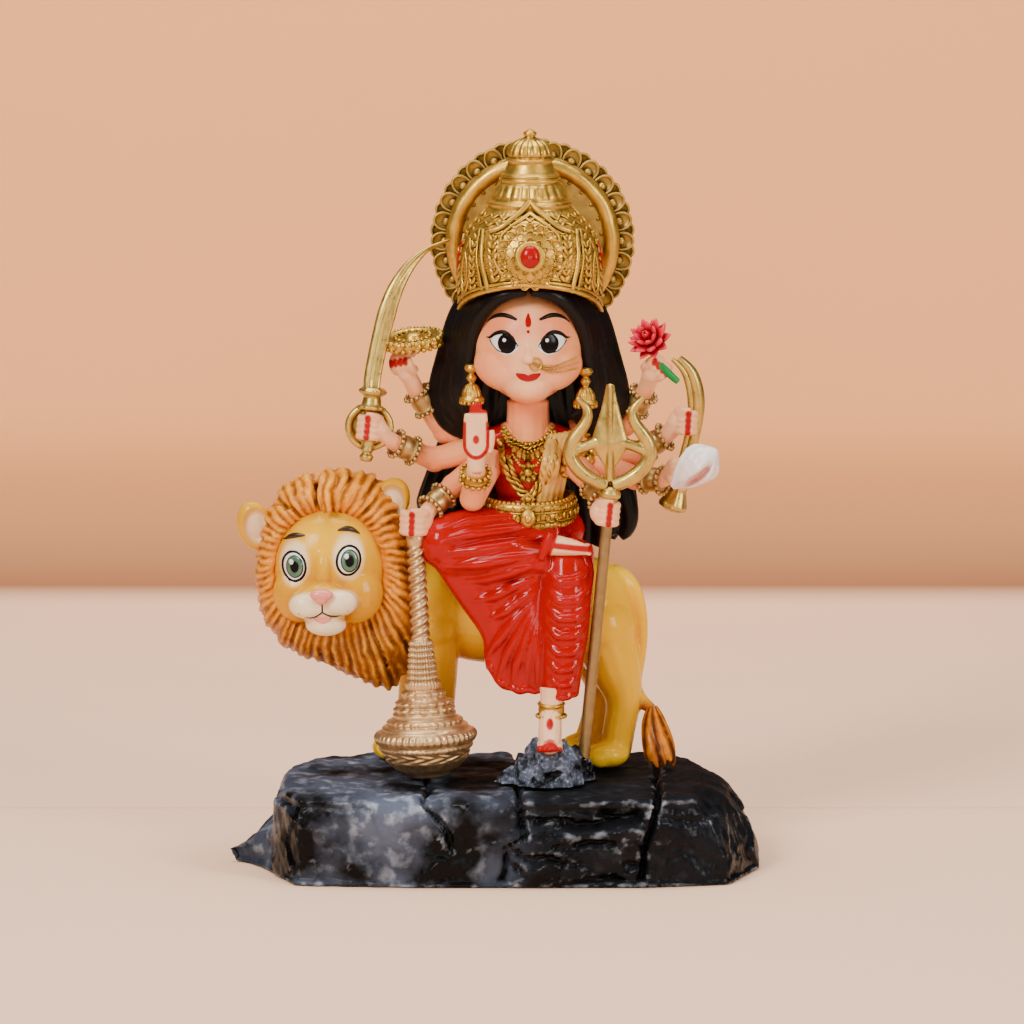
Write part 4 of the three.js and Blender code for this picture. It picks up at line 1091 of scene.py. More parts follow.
def painted(name, target, middle, outline, lift=0.06, steps=7):
    """A patch of paint. The outline is (x, z) pairs in millimetres round the middle."""
    count = len(outline)
    spots = []
    for k in range(steps, -1, -1):
        share = k / steps
        ring = outline if k else outline[:1]
        for x, z in ring:
            spot, out = cast(target, middle.x + x * share * MM, middle.z + z * share * MM)
            if spot is None:
                spot, out = Vector((middle.x + x * share * MM, middle.y,
                        middle.z + z * share * MM)), Vector((0, -1, 0))
            spots.append(spot + out * (lift if k < steps else lift - 0.05) * MM)
    faces = []
    for k in range(steps - 1):
        for i in range(count):
            j = (i + 1) % count
            faces.append((k * count + i, k * count + j, (k + 1) * count + j, (k + 1) * count + i))
    tip = steps * count
    faces += [((steps - 1) * count + i, (steps - 1) * count + (i + 1) % count, tip) for i in range(count)]
    patch = mesh_piece(name, spots, [], faces)
    if sum(face.normal.y * face.area for face in patch.data.polygons) > 0:
        patch.data.flip_normals()
    modify(patch, "SOLIDIFY", thickness=0.16 * MM, offset=-1)
    bpy.ops.object.shade_smooth()
    return patch


def oval(rx, rz, count=36, lean=0.0, point=0.0):
    """An oval outline; point draws its two ends out."""
    line = []
    for i in range(count):
        t = 2 * math.pi * i / count
        x, z = rx * math.cos(t), rz * math.sin(t) * (1 - point * abs(math.cos(t)) ** 2)
        line.append((x * math.cos(lean) - z * math.sin(lean), x * math.sin(lean) + z * math.cos(lean)))
    return line


def stroke(target, middle, route, lift=0.05):
    """A brush stroke on a surface: (x, z, radius) in millimetres from a middle."""
    path = []
    for x, z, radius in route:
        spot, _ = cast(target, middle.x + x * MM, middle.z + z * MM)
        path.append((spot + Vector((0, -lift * MM, 0)), radius))
    return path


white_paint = enamel("white_paint", (0.82, 0.80, 0.78), (0.7, 0.7, 0.75), 0.25, 0.8)
iris_paint = enamel("iris_paint", (0.008, 0.006, 0.006), (0.6, 0.6, 0.6), 0.14, 0.0, shine=0.1)
black_paint = enamel("black_paint", (0.006, 0.005, 0.005), (0.6, 0.6, 0.6), 0.30, 0.0, shine=0.12)
lip_paint = enamel("lip_paint", (0.38, 0.0, 0.006), (0.6, 0.3, 0.3), 0.25, 0.1, shine=0.12)
EYE_X, EYE_Z = 5.1, 1.3
lines = []
for s, side in ((-1, "right"), (1, "left")):
    eye = by_head(EYE_X * s, -10, EYE_Z)
    almond = [
        (x, z + (0.22 * x * s if z > 0 else 0.12 * x * s)) for x, z in oval(3.15, 2.5, 40, 0, 0.28)
    ]
    finish(painted(f"{side}_eye_white", face, eye, almond, 0.05), white_paint, "skin")
    iris_at = shift(eye, -0.45 * s, 0, 0.05)
    finish(painted(f"{side}_iris", face, iris_at, oval(2.0, 2.2, 32), 0.11), iris_paint, "hair_black")
    glint_at = shift(iris_at, -0.55, 0, 0.75)
    finish(painted(f"{side}_glint", face, glint_at, oval(0.42, 0.42, 16), 0.17, 3), white_paint, "skin")
    x0 = EYE_X * s
    lines.append(stroke(face, head, [(x0 - 2.9 * s, 0.9, 0.10), (x0 - 1.6 * s, 2.9, 0.30),
                (x0 + 0.2 * s, 3.95, 0.52), (x0 + 2.2 * s, 3.4, 0.44), (x0 + 3.4 * s, 2.2, 0.30),
                (x0 + 4.1 * s, 2.5, 0.06)]))
    lines.append(stroke(face, head, [(x0 - 2.8 * s, 0.8, 0.05), (x0 - 1.2 * s, -0.55, 0.10),
                (x0 + 0.8 * s, -0.7, 0.14), (x0 + 2.4 * s, 0.4, 0.14), (x0 + 3.3 * s, 1.9, 0.12)]))
    lines.append(stroke(face, head, [(x0 - 2.6 * s, 6.5, 0.30), (x0 - 0.8 * s, 7.3, 0.55),
                (x0 + 1.2 * s, 7.3, 0.52), (x0 + 3.0 * s, 6.5, 0.32), (x0 + 4.0 * s, 5.5, 0.06)]))
lash_lines = rolls(lines, 2)
lash_lines.name = "lash_and_brow_lines"
finish(lash_lines, black_paint, "hair_black")

mouth = by_head(0, -10, -5.9)
bow_outline = []
for i in range(40):
    t = 2 * math.pi * i / 40
    x = 2.7 * math.cos(t)
    cupid = 0.35 * math.exp(-((x / 0.5) ** 2))
    upper, lower = (0.62 - cupid) * math.sin(t), 1.25 * math.sin(t)
    z = (upper if math.sin(t) > 0 else lower) + 0.08 * x * x
    bow_outline.append((x, z))
finish(painted("lips", face, mouth, bow_outline, 0.14), lip_paint, "gem_red")
turns = np.linspace(0, 2 * math.pi, 28)[:-1]
drop = [(0.62 * math.sin(t) * (1 - 0.5 * math.cos(t)), 1.5 * math.cos(t)) for t in turns]
finish(painted("brow_mark", face, by_head(0, -11, 6.4), drop, 0.08), gem_paint, "gem_red")
finish(painted("brow_dot", face, by_head(0, -11, 4.0), oval(0.36, 0.36, 14), 0.08, 3), gem_paint, "gem_red")

# %% [markdown]
# ## The hair
#
# The hair is carved in thick locks: parted in the middle over the brow, swept down both sides of the
# face to the shoulders, and falling behind in a wide wavy mass to the lion's back. Each lock is a roll
# of clay that follows its neighbour, so the grooves between them come by themselves.

# %% Locks round the face
def mixed(first, second, share):
    """A lock between two locks, each a list of (x, y, z, radius)."""
    return [tuple(a + (b - a) * share for a, b in zip(p, q)) for p, q in zip(first, second)]


random.seed(11)
front_edge = [(0.5, -10.2, 12.6, 1.0), (4.6, -9.8, 12.6, 1.6), (9.0, -7.8, 9.8, 1.7),
    (11.8, -5.0, 4.6, 1.6), (12.6, -3.0, -1.5, 1.5), (13.6, -2.2, -7.0, 1.7), (13.6, -2.2, -11.6, 1.8),
    (11.4, -1.8, -14.6, 1.4), (9.2, -1.2, -15.8, 0.7)]
back_edge = [(0.6, -3.0, 17.6, 2.0), (8.0, -1.6, 15.6, 2.2), (14.0, 2.0, 9.4, 2.4), (16.4, 3.0, 3.0, 2.4),
    (17.8, 4.0, -4.0, 2.6), (19.4, 4.6, -10.0, 2.8), (19.8, 4.4, -15.0, 2.6), (17.0, 3.6, -19.4, 2.0),
    (13.6, 3.0, -21.0, 1.0)]
locks = []
for s in (-1, 1):
    for i in range(9):
        lock = mixed(front_edge, back_edge, i / 8)
        jog = random.uniform(-0.35, 0.35)
        locks.append([(by_head((x + jog * k * 0.2) * s, y, z), r) for k, (x, y, z, r) in enumerate(lock)])
hair = [rolls(locks, 3, 4), lump(by_head(0, 4.2, 1.5), (12.6, 10.0, 13.6), detail=30)]
hair += [lump(by_head(13.6 * s, 3.4, -8), (3.6, 3.8, 10), detail=20) for s in (-1, 1)]
locks_front = fuse("hair_locks", hair, 0.36, 2)
finish(locks_front, hair_enamel, "hair_black", "hair_cap")

# %% [markdown]
# The hair behind falls in two layers of locks. Each lock starts under the crown, spreads outwards and
# waves from side to side, and a flat core behind them keeps the mass closed.

# %% Hair behind
hair_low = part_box("hair_back")[0]
fall = []
random.seed(5)
COLUMNS = 15
for row, (y_top, y_low, size) in enumerate(((10.0, 11.0, 2.3), (14.0, 17.0, 2.6))):
    for i in range(COLUMNS):
        share = i / (COLUMNS - 1) * 2 - 1
        wave = random.uniform(-0.8, 0.8)
        end = hair_low.z / MM + 3.5 + 7 * share**2 * (1.6 if share < 0 else 0.5) + random.uniform(0, 2.5)
        spread = [(0.40, 0), (0.66, -14), (0.90, -26), (1.0, -36)]
        path = [(Vector((head.x + share * 11 * MM, (y_top - 1.5) * MM, head.z + 4 * MM)), size * 0.8)]
        for k, (width, drop) in enumerate(spread):
            x = head.x + (share * 23.5 * width + wave * (-1) ** k) * MM
            y = (y_top + (y_low - y_top) * k / 3 + 0.7 * (-1) ** (k + i)) * MM
            path.append((Vector((x, y, head.z - (6 - drop) * MM)), size))
        path.append((Vector((head.x + (share * 21 + wave) * MM, y_low * MM, end * MM)), size * 0.5))
        fall.append(path)
mass = [rolls(fall, 3, 4)]
mass.append(rolls([[(at("hair_back", 0.5, 0.5, 0.95), 8), (at("hair_back", 0.5, 0.5, 0.6), 8),
            (at("hair_back", 0.5, 0.5, 0.25), 6)]], 4))
mass[-1].data.transform(
    Matrix.Translation(at("hair_back")) @ Matrix.Diagonal((2.1, 0.3, 1, 1))
    @ Matrix.Translation(-at("hair_back"))
)
hair_behind = fuse("hair_fall", mass, 0.42, 2)
finish(hair_behind, hair_enamel, "hair_black", "hair_back")
# %% [markdown]
# ## The lion
#
# The lion is a plain cartoon lion that stands across the base with its head turned to the front. Body,
# legs and tail are one casting in glossy yellow; the head, the ears and the mane are castings of
# their own. The body is built from lumps for chest, barrel and haunches and rolls for the legs.

# %% Body and legs
YELLOW = (0.95, 0.50, 0.0)
SHADE_YELLOW = (0.70, 0.27, 0.0)
LOW_LEG_AND_HIGHLIGHT_YELLOW = (1.0, 0.62, 0.0)
FACE_YELLOW = (0.70, 0.34, 0.0)
CREAM = (0.92, 0.72, 0.46)
body_low, body_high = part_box("lion_body")
spine = (body_low + body_high) / 2
spine.x = 0
chest, rump = shift(spine, -16, -2, 2), shift(spine, 20.6, 0.4, 0.2)
rock_z = rock_top.z / MM
limbs = [
    lump(chest, (11, 9.4, 12.6), detail=28),
    lump(shift(spine, 0, 0, 0.4), (19, 9.2, 11.6), detail=28),
    lump(rump, (10.5, 9.4, 12.6), detail=28),
    lump(shift(rump, 1.5, -3.4, -1.5), (7.6, 6.6, 11.2), (0, -0.25, 0), 28),
    rolls([[(shift(chest, -2, 0, 4), 8.5), (at("lion_mane", 0.6, 0.65, 0.6), 9)]], 4),
]
feet = []


def leg(hip, hock, foot, thick, thin):
    """A leg from hip to hock to foot, and the paw in front of it."""
    limbs.append(lump(hip, [thick * 1.06] * 3, detail=26))
    foot = Vector((foot[0] * MM, foot[1] * MM, (rock_z + 3.6) * MM))
    hock = Vector(hock) * MM
    middle = foot.lerp(hock, 0.55)
    limbs.append(rolls([[(hip, thick), (hip.lerp(hock, 0.5), thick * 0.86), (hock, thin * 1.12),
                (middle, thin), (foot, thin * 1.02), (shift(foot, -0.6, -1, -1.4), thin)]], 5, 3))
    limbs.append(lump(shift(foot, -2.0, -2.2, -1.0), (5.0, 4.4, 2.9)))
    for side in (-1, 0, 1):
        toe = shift(foot, -4.4 + 1.0 * abs(side), -2.6 + 2.5 * side, -1.6)
        limbs.append(lump(toe, (2.3, 1.5, 1.9)))
    feet.append(foot)


leg(shift(chest, 2.0, -3.0, -4), (-12.6, 9.8, 34), (-12.2, 9.6, 0), 6.4, 3.5)
leg(shift(chest, 1.0, 4.2, -4), (-17.6, 18.8, 34), (-20.4, 19.2, 0), 6.2, 3.4)
leg(shift(rump, 3.0, -3.6, -3), (29.0, 9.2, 35.5), (27.0, 9.6, 0), 7.4, 3.7)
leg(shift(rump, 0.4, 3.4, -3), (24.8, 19.6, 35.5), (21.6, 20.2, 0), 7.0, 3.5)
tail_top = shift(rump, 6.0, 0.5, 7.6)
tail_end = at("lion_tail_tuft", 0.45, 0.75, 0.92)
limbs.append(rolls([[(tail_top, 3.2), (shift(rump, 9.6, 0.4, 7.4), 2.2),
            (shift(rump, 12.6, 0.2, -0.5), 1.75), (shift(rump, 11.6, -1.6, -12), 1.6),
            (shift(rump, 9.8, -3.6, -18), 1.5), (tail_end, 1.4)]], 4, 4))
lion = fuse("lion_body_and_legs", limbs, 0.42, 9)
spots = points_of(lion)
out = normals_of(lion)
gap = np.zeros(len(spots))
for foot in feet:
    for side in (-1, 1):
        groove = egg_mask(spots, shift(foot, -6.0, -2.6 + 1.25 * side, -1.2), (3.6, 0.5, 3.0), 0.9)
        gap = np.maximum(gap, groove)
crease = egg_mask(spots, shift(rump, -6.6, -8, -4), (1.0, 5, 8.5), 1.2)
spots = spots - out * (0.55 * gap + 0.5 * crease)[:, None] * MM
spots[:, 2] = np.maximum(spots[:, 2], rock_top.z - 0.3 * MM)
move_points(lion, spots)
high = spots[:, 2] / MM
TAIL_BROWN = (0.46, 0.13, 0.02)
at_tuft = smoothstep(3.6, 0.4, np.abs(high - tail_end.z / MM))
brush(
    lion,
    YELLOW,
    [
        # painted highlight: lighter yellow along the top of the back
        (LOW_LEG_AND_HIGHLIGHT_YELLOW, 0.55 * smoothstep(56, 64, high)),
        # painted shade on the undersides
        (SHADE_YELLOW, 0.80 * smoothstep(0.1, -0.8, out[:, 2]) * smoothstep(62, 46, high)),
        # painted shade in the crease by the haunch
        (SHADE_YELLOW, 0.55 * crease),
        (LOW_LEG_AND_HIGHLIGHT_YELLOW, 0.5 * smoothstep(27, 21, high)),
        # painted shade between the toes
        (SHADE_YELLOW, 0.8 * gap),
        (TAIL_BROWN, at_tuft * (spots[:, 0] > tail_end.x - 3 * MM)),
    ],
)
finish(
    lion, lion_paint, "lion_yellow", "lion_body", "lion_near_foreleg", "lion_far_foreleg",
    "lion_near_hindleg", "lion_far_hindleg", "lion_tail",
)

# %% [markdown]
# The lion's head is a ball with full cheeks and a short muzzle. Muzzle pads, chin and the patches
# round the eyes are brushed cream. The eyes are painted patches: black rim, white, green iris, pupil
# and a glint, one over the other.

# %% Lion's head
def by_lion(x, y, z):
    return shift(lion_head, x, y, z)


PINK = (0.86, 0.26, 0.20)
skull = [
    lump(by_lion(0, 1.0, 0.6), (12.7, 9.2, 13.6), detail=36),
    lump(by_lion(5.6, -2.4, -4.6), (6.6, 6.0, 6.8)),
    lump(by_lion(-6.2, -2.4, -4.6), (6.2, 6.0, 6.6)),
    lump(by_lion(-1.2, -7.6, -6.2), (6.0, 4.2, 5.0)),
    lump(by_lion(-4.4, -9.6, -6.2), (4.2, 3.0, 3.0)),
    lump(by_lion(2.4, -9.6, -5.6), (4.2, 3.0, 3.0)),
    lump(by_lion(-0.4, -8.2, -10.6), (4.6, 3.4, 2.6)),
    lump(by_lion(-1.0, -5.4, 0.6), (2.6, 4.2, 6.0)),
]
muzzle = fuse("lion_head", skull, 0.32, 4)
spots = points_of(muzzle)
eyes = {"right": (-7.4, 2.0), "left": (4.6, 3.4)}
coats = [
    # painted highlight: brighter yellow over the brow
    (YELLOW, 0.5 * egg_mask(spots, by_lion(0, -8, 9), (9, 8, 6), 1.0)),
    (CREAM, egg_mask(spots, by_lion(-4.6, -10.8, -6.4), (4.6, 4.6, 3.0), 0.35)),
    (CREAM, egg_mask(spots, by_lion(2.8, -10.8, -5.6), (4.6, 4.6, 3.0), 0.35)),
    (CREAM, egg_mask(spots, by_lion(-0.4, -9.4, -11.0), (5.2, 4.6, 2.8), 0.4)),
    # painted shade: darker yellow low on the cheeks, beside the mane
    (SHADE_YELLOW, 0.5 * egg_mask(spots, by_lion(-9.5, -4, -6), (4, 6, 5), 1.2)),
    (SHADE_YELLOW, 0.5 * egg_mask(spots, by_lion(9.5, -4, -6), (4, 6, 5), 1.2)),
]
for x, z in eyes.values():
    coats.append((CREAM, 0.85 * egg_mask(spots, by_lion(x * 1.02, -8, z + 1.0), (3.4, 7, 5.0), 0.35)))
brush(muzzle, FACE_YELLOW, coats)
finish(muzzle, lion_paint, "lion_yellow", "lion_face")

green_paint = enamel("green_paint", (0.07, 0.15, 0.085), (0.5, 0.5, 0.5), 0.2, 0.9)
pink_paint = enamel("pink_paint", PINK, (0.7, 0.4, 0.4), 0.3, 0.6)
brown_paint = enamel("brown_paint", (0.03, 0.012, 0.006), (0.6, 0.5, 0.5), 0.35, 0.3)
strokes = []
for side, (x, z) in eyes.items():
    s = -1 if side == "right" else 1
    eye = by_lion(x, -9, z)
    iris_at = shift(eye, 0.2, 0, -0.1)
    for layer, middle, outline, lift, colour, slot in (
        ("eye_rim", eye, oval(2.85, 3.45, 40, -0.12 * s), 0.05, black_paint, "hair_black"),
        ("eye_white", eye, oval(2.3, 2.9, 40, -0.12 * s), 0.11, white_paint, "shell_white"),
        ("iris_rim", iris_at, oval(1.95, 2.5, 36), 0.17, black_paint, "hair_black"),
        ("iris", iris_at, oval(1.75, 2.3, 36), 0.23, green_paint, "stem_green"),
        ("pupil", iris_at, oval(0.95, 1.3, 28), 0.29, black_paint, "hair_black"),
    ):
        finish(painted(f"lion_{side}_{layer}", muzzle, middle, outline, lift), colour, slot)
    glint = painted(f"lion_{side}_glint", muzzle, shift(iris_at, -0.7, 0, 1.0), oval(0.5, 0.6, 16), 0.35, 3)
    finish(glint, white_paint, "shell_white")
    strokes.append(stroke(muzzle, lion_head, [(x - 2.4, z + 5.9 + 0.5 * s, 0.15),
                (x - 1.0, z + 6.5 + 0.3 * s, 0.66), (x + 0.9, z + 6.6 - 0.1 * s, 0.66),
                (x + 2.4, z + 6.1 - 0.6 * s, 0.15)]))
nose_at = by_lion(-1.2, -12.6, -3.4)
strokes.append(stroke(muzzle, lion_head, [(-1.2, -4.6, 0.22), (-1.1, -6.0, 0.22), (-1.1, -7.4, 0.22)], 0.0))
strokes.append(stroke(muzzle, lion_head, [(-1.1, -7.4, 0.2), (-2.6, -8.6, 0.22), (-4.6, -8.7, 0.2),
            (-6.4, -7.6, 0.1)], 0.0))
strokes.append(stroke(muzzle, lion_head, [(-1.1, -7.4, 0.2), (0.6, -8.5, 0.22), (2.8, -8.3, 0.2),
            (4.6, -7.0, 0.1)], 0.0))
brows = rolls(strokes, 2)
brows.name = "lion_brows_and_mouth"
finish(brows, brown_paint, "mane_brown")
nose_clay = [lump(nose_at, (2.7, 1.5, 1.3)), lump(shift(nose_at, 0, 0.1, -0.9), (1.5, 1.4, 1.3))]
nose = fuse("lion_nose", nose_clay, 0.2, 3)
finish(nose, pink_paint, "lotus_petal")
turns = np.linspace(0, 2 * math.pi, 33)[:-1]
lip = [(1.9 * math.cos(t), 0.75 * math.sin(t) + 0.10 * (1.9 * math.cos(t)) ** 2) for t in turns]
finish(painted("lion_lip", muzzle, by_lion(-1.0, -10, -9.2), lip, 0.10, 4), pink_paint, "lotus_petal")

# %% [markdown]
# The ears are two leaning eggs. The front of each is pushed in to a shallow dish and brushed paler.

# %% Ears
ear_pieces, dishes = [], []
for node, size, lean in (
    ("lion_right_ear", (3.9, 2.3, 5.6), -0.25),
    ("lion_left_ear", (4.1, 2.3, 5.4), 0.35),
):
    middle = at(node, 0.5, 0.5, 0.5)
    ear_pieces.append(lump(middle, size, (0, lean, 0), 28))
    dishes.append((shift(middle, 0.3, -2.2, -0.1), (size[0] * 0.64, 2.4, size[2] * 0.66)))
ears = fuse("lion_ears", ear_pieces, 0.3, 2)
spots = points_of(ears)
dish = np.maximum(*[egg_mask(spots, c, r, 0.5) for c, r in dishes])
spots[:, 1] += dish * 1.5 * MM
move_points(ears, spots)
brush(ears, FACE_YELLOW, [((0.80, 0.46, 0.20), dish), (CREAM, 0.85 * smoothstep(0.4, 1.0, dish) * 0.8)])
finish(ears, lion_paint, "lion_yellow", "lion_right_ear", "lion_left_ear")

# %% [markdown]
# ## The mane
#
# The mane is carved in long strands. They start evenly all round the face, arch forward and sweep
# outwards and down to the silhouette, longest below the cheek on the right. Shorter strands turn back
# over the neck. Fine lines are then pressed in along the sweep. Brown is brushed into their grooves as
# painted shade and a lighter orange onto their ridges as painted highlight, and the mane is brushed
# darker towards the bottom.

# %% Mane
MANE_OUTLINE = [
    (0, 1.5, 21.6), (28, 9.5, 20.8), (52, 14.8, 15.6), (75, 17.4, 8.0), (98, 18.8, -2.0),
    (118, 20.4, -11.5), (134, 19.2, -21.0), (147, 13.6, -27.6), (160, 6.2, -24.6), (176, -2.4, -20.6),
    (196, -9.6, -17.6), (222, -14.2, -11.0), (250, -15.4, -3.4), (278, -15.2, 4.0), (300, -13.6, 11.4),
    (325, -9.8, 17.6), (345, -4.6, 20.8), (360, 1.5, 21.6),
]
outline_at = [p[0] for p in MANE_OUTLINE]


def mane_edge(degrees):
    degrees = degrees % 360
    return np.array([np.interp(degrees, outline_at, [p[k] for p in MANE_OUTLINE]) for k in (1, 2)])


def face_edge(degrees):
    t = math.radians(degrees)
    return np.array([12.0 * math.sin(t), 0.6 + 12.9 * math.cos(t)])


def strand_spot(degrees, share, depth):
    """A point between the face's rim (share 0) and the silhouette (share 1)."""
    spot = face_edge(degrees) * (1 - share) + mane_edge(degrees) * share
    return by_lion(spot[0], depth, spot[1])


random.seed(21)
strands = []
FLOW_FROM = (-180, -135, -90, -62, -30, 0, 30, 62, 90, 120, 150, 180)
FLOW_TO = (-196, -162, -122, -92, -50, 6, 56, 96, 124, 139, 153, 164)
for layer, (size, back) in enumerate(((1.0, 0.0), (1.1, 1.8))):
    for i in range(48):
        start = 360 * (i + 0.5 * layer) / 48 - 180
        end = np.interp(start, FLOW_FROM, FLOW_TO) + random.uniform(-4, 4)
        wave = random.uniform(-0.05, 0.05)
        fat = size * random.uniform(0.80, 1.15)
        jut = random.uniform(-1.0, 0.8)
        path = []
        for part, share, depth, radius in (
            (0.0, 0.0, -0.6, 0.7), (0.3, 0.28, -3.2, 1.15), (0.62, 0.60, -2.4, 1.35),
            (0.88, 0.88, 1.4, 1.3), (1.0, 0.97, 5.0, 1.0),
        ):
            bend = start + (end - start) * part
            path.append((strand_spot(bend, share + wave * math.sin(6 * part), depth + back + jut * part),
                    radius * fat))
        strands.append(path)
for i in range(54):
    degrees = 360 * i / 54
    edge = mane_edge(degrees)
    strands.append([
            (by_lion(edge[0] * 0.95, 3.6, edge[1] * 0.95), 1.6),
            (by_lion(edge[0] * 0.84 + 1, 9.4, edge[1] * 0.84 - 0.5), 1.5),
            (by_lion(edge[0] * 0.6 + 2.5, 13.4, edge[1] * 0.62 - 2.0), 1.5),
            (by_lion(edge[0] * 0.32 + 5.0, 15.0, edge[1] * 0.36 - 4.0), 1.2),
        ])
padding = [
    lump(by_lion(14.0, 4.6, -17.0), (5.4, 5.6, 8.4), (0, 0.35, 0), 26),
    rolls([trail(lion_head, (0, -5.6, 13.8, 1.0), (0, -3.6, 17, 1.4), (0, 0.6, 20.4, 1.6),
            (0, 6, 20.6, 1.6))], 3),
    lump(by_lion(0.6, 6.4, 1.6), (14.6, 7.0, 18.0), detail=30),
    lump(by_lion(8.6, 6.0, -11.0), (10.6, 6.6, 13.0), (0, 0.35, 0), 30),
]
mane = fuse("mane_locks", [rolls(strands, 3, 4)] + padding, 0.345, 1)
spots, out = points_of(mane), normals_of(mane)
x, z = (spots[:, 0] - lion_head.x) / MM, (spots[:, 2] - lion_head.z) / MM
turned = np.degrees(np.arctan2(x, z))
reach = np.hypot(x, z)
swept = turned - 20 * np.sin(np.radians(turned)) * (reach / 14 - 1) + 3.2 * fractal(spots, 110, 9.0)
lines = np.sin(np.radians(swept) * 58)
lines += 0.5 * fractal(spots, 500, 6.0)
carved = np.maximum(smoothstep(12, 14, reach),
    smoothstep(6, 8, (spots[:, 1] - lion_head.y) / MM) * smoothstep(2, 4, reach))
move_points(mane, spots + out * (0.16 * lines * carved)[:, None] * MM)
MANE_ORANGE, MANE_BROWN, MANE_HIGHLIGHT = (0.78, 0.25, 0.006), (0.13, 0.028, 0.002), (0.95, 0.50, 0.06)
brush(mane, MANE_ORANGE, [
        # darker towards the bottom
        (MANE_BROWN, 0.60 * smoothstep(-4, -20, z)),
        # painted highlight on the ridges of the fine lines
        (MANE_HIGHLIGHT, 0.55 * smoothstep(0.5, 1.2, lines) * carved),
        # painted shade in the grooves of the fine lines
        (MANE_BROWN, 0.66 * smoothstep(-0.1, -1.0, lines) * carved),
    ])
mane_paint = enamel(
    "mane_paint", (1, 1, 1), (0.22, 0.10, 0.05), 0.34, 0.06, (1.1 * MM, 0.55, 1.0), True, 0.14
)
finish(mane, mane_paint, "mane_brown", "lion_mane")

# %% [markdown]
# The tuft hangs from the end of the tail: a core with eleven strands that swirl round it and come
# together at the tip, painted in streaks of orange and very dark brown.

# %% Tail tuft
tuft_top, tuft_tip = at("lion_tail_tuft", 0.45, 0.75, 0.95), at("lion_tail_tuft", 0.72, 0.22, 0.02)
tuft_strands = []
for i in range(11):
    t = 2 * math.pi * i / 11
    ring = Vector((math.cos(t), math.sin(t), 0)) * MM
    swirl = Vector((math.cos(t + 0.9), math.sin(t + 0.9), 0)) * MM
    tuft_strands.append([
            (tuft_top, 1.2),
            (tuft_top.lerp(tuft_tip, 0.28) + ring * 2.6 + Vector((-0.4, 0, 0)) * MM, 1.3),
            (tuft_top.lerp(tuft_tip, 0.70) + swirl * 3.4, 1.3),
            (tuft_tip + swirl * 2.6 + Vector((0, 0, 0.6 * MM * (i % 3))), 0.4),
        ])
tuft_core = rolls([[(tuft_top, 1.4), (tuft_top.lerp(tuft_tip, 0.5), 3.0), (tuft_tip, 0.8)]], 4)
tuft = fuse("tail_tuft", [tuft_core, rolls(tuft_strands, 3, 4)], 0.26, 1)
spots = points_of(tuft)
around = np.arctan2(spots[:, 1] - tuft_top.y, spots[:, 0] - tuft_top.x)
streak = np.sin(11 * around + 300 * (spots[:, 2] - tuft_tip.z)) + 0.6 * fractal(spots, 500, 3.0)
brush(tuft, (0.40, 0.10, 0.006), [
        (MANE_ORANGE, 0.8 * smoothstep(0.3, 0.9, streak)),
        ((0.03, 0.006, 0.001), 0.8 * smoothstep(-0.2, -0.9, streak)),
    ])
finish(tuft, mane_paint, "mane_brown", "lion_tail_tuft")
# %% [markdown]
# ## Cloth and limbs of the figure
#
# The skirt is built in two passes. First the body of the cloth is pressed from rolls: a folded thigh,
# a shin across it, a hanging leg and a fan of pleats. Then the folds are laid on as thin rolls that
# are cast onto the first surface, and the whole is fused once more, so that each fold is a soft ridge
# with a sharp valley beside it.

# %% Skirt
def drape(target, route, lift=0.0, y_side=-1):
    """A roll laid on a surface. The route is (x, z, radius) in millimetres of the frame."""
    path = []
    share = np.linspace(0, len(route) - 1, 4 * len(route) - 3)
    for x, z, radius in np.transpose([np.interp(share, range(len(route)), line) for line in zip(*route)]):
        spot, _ = cast(target, x * MM, z * MM, y_side)
        if spot is not None:
            path.append((spot + Vector((0, y_side * lift * MM, 0)), radius))
    return path


cloth = [
    lump((8.4 * MM, 5.4 * MM, 73.6 * MM), (11.8, 8.6, 7.2), detail=30),
    lump((-11.4 * MM, -2.4 * MM, 72.0 * MM), (5.3, 6.0, 5.8), detail=26),
    lump((-9.4 * MM, -3.0 * MM, 68.6 * MM), (4.4, 4.6, 4.2), detail=26),
    rolls([
            [(Vector(p) * MM, r) for *p, r in path]
            for path in (
            [(13, 3.6, 73.4, 6.6), (2, 0.4, 73.2, 6.8), (-9, -1.8, 72.8, 6.2), (-12.4, -2.2, 72.2, 5.4)],
            [(-10.4, -3.6, 68.8, 4.0), (-3, -4.8, 69.2, 5.0), (6, -5.4, 68.6, 4.6), (12, -6.2, 68.6, 3.0)],
            [(16, -1.0, 70.5, 6.2), (16.2, -6.2, 63, 5.9), (15.8, -8.2, 53, 5.4), (14.9, -9.2, 44, 4.4),
            (14.7, -9.5, 38.8, 4.0)],
            [(-10, -3.0, 66.4, 2.6), (-5.0, -3.6, 60, 3.2), (0.4, -4.4, 52, 2.7), (0.0, -5.0, 47, 2.5),
            (0.4, -5.2, 44, 2.2)],
            [(-6, -3.0, 65.6, 4.0), (0.0, -4.0, 57, 3.9), (3.0, -5.0, 48, 3.2), (2.8, -5.6, 40.6, 2.6)],
            [(0, -3.0, 66, 5.2), (4.4, -4.4, 56, 4.2), (6.0, -5.6, 47, 3.6), (6.2, -6.2, 39.6, 3.0)],
            [(7, -2.6, 67, 5.6), (8.6, -4.8, 57, 4.4), (9.6, -6.0, 47, 4.0), (10.2, -6.6, 39.4, 3.0)],
            )
        ], 5),
]
base_cloth = fuse("base_cloth", cloth, 0.5, 6)
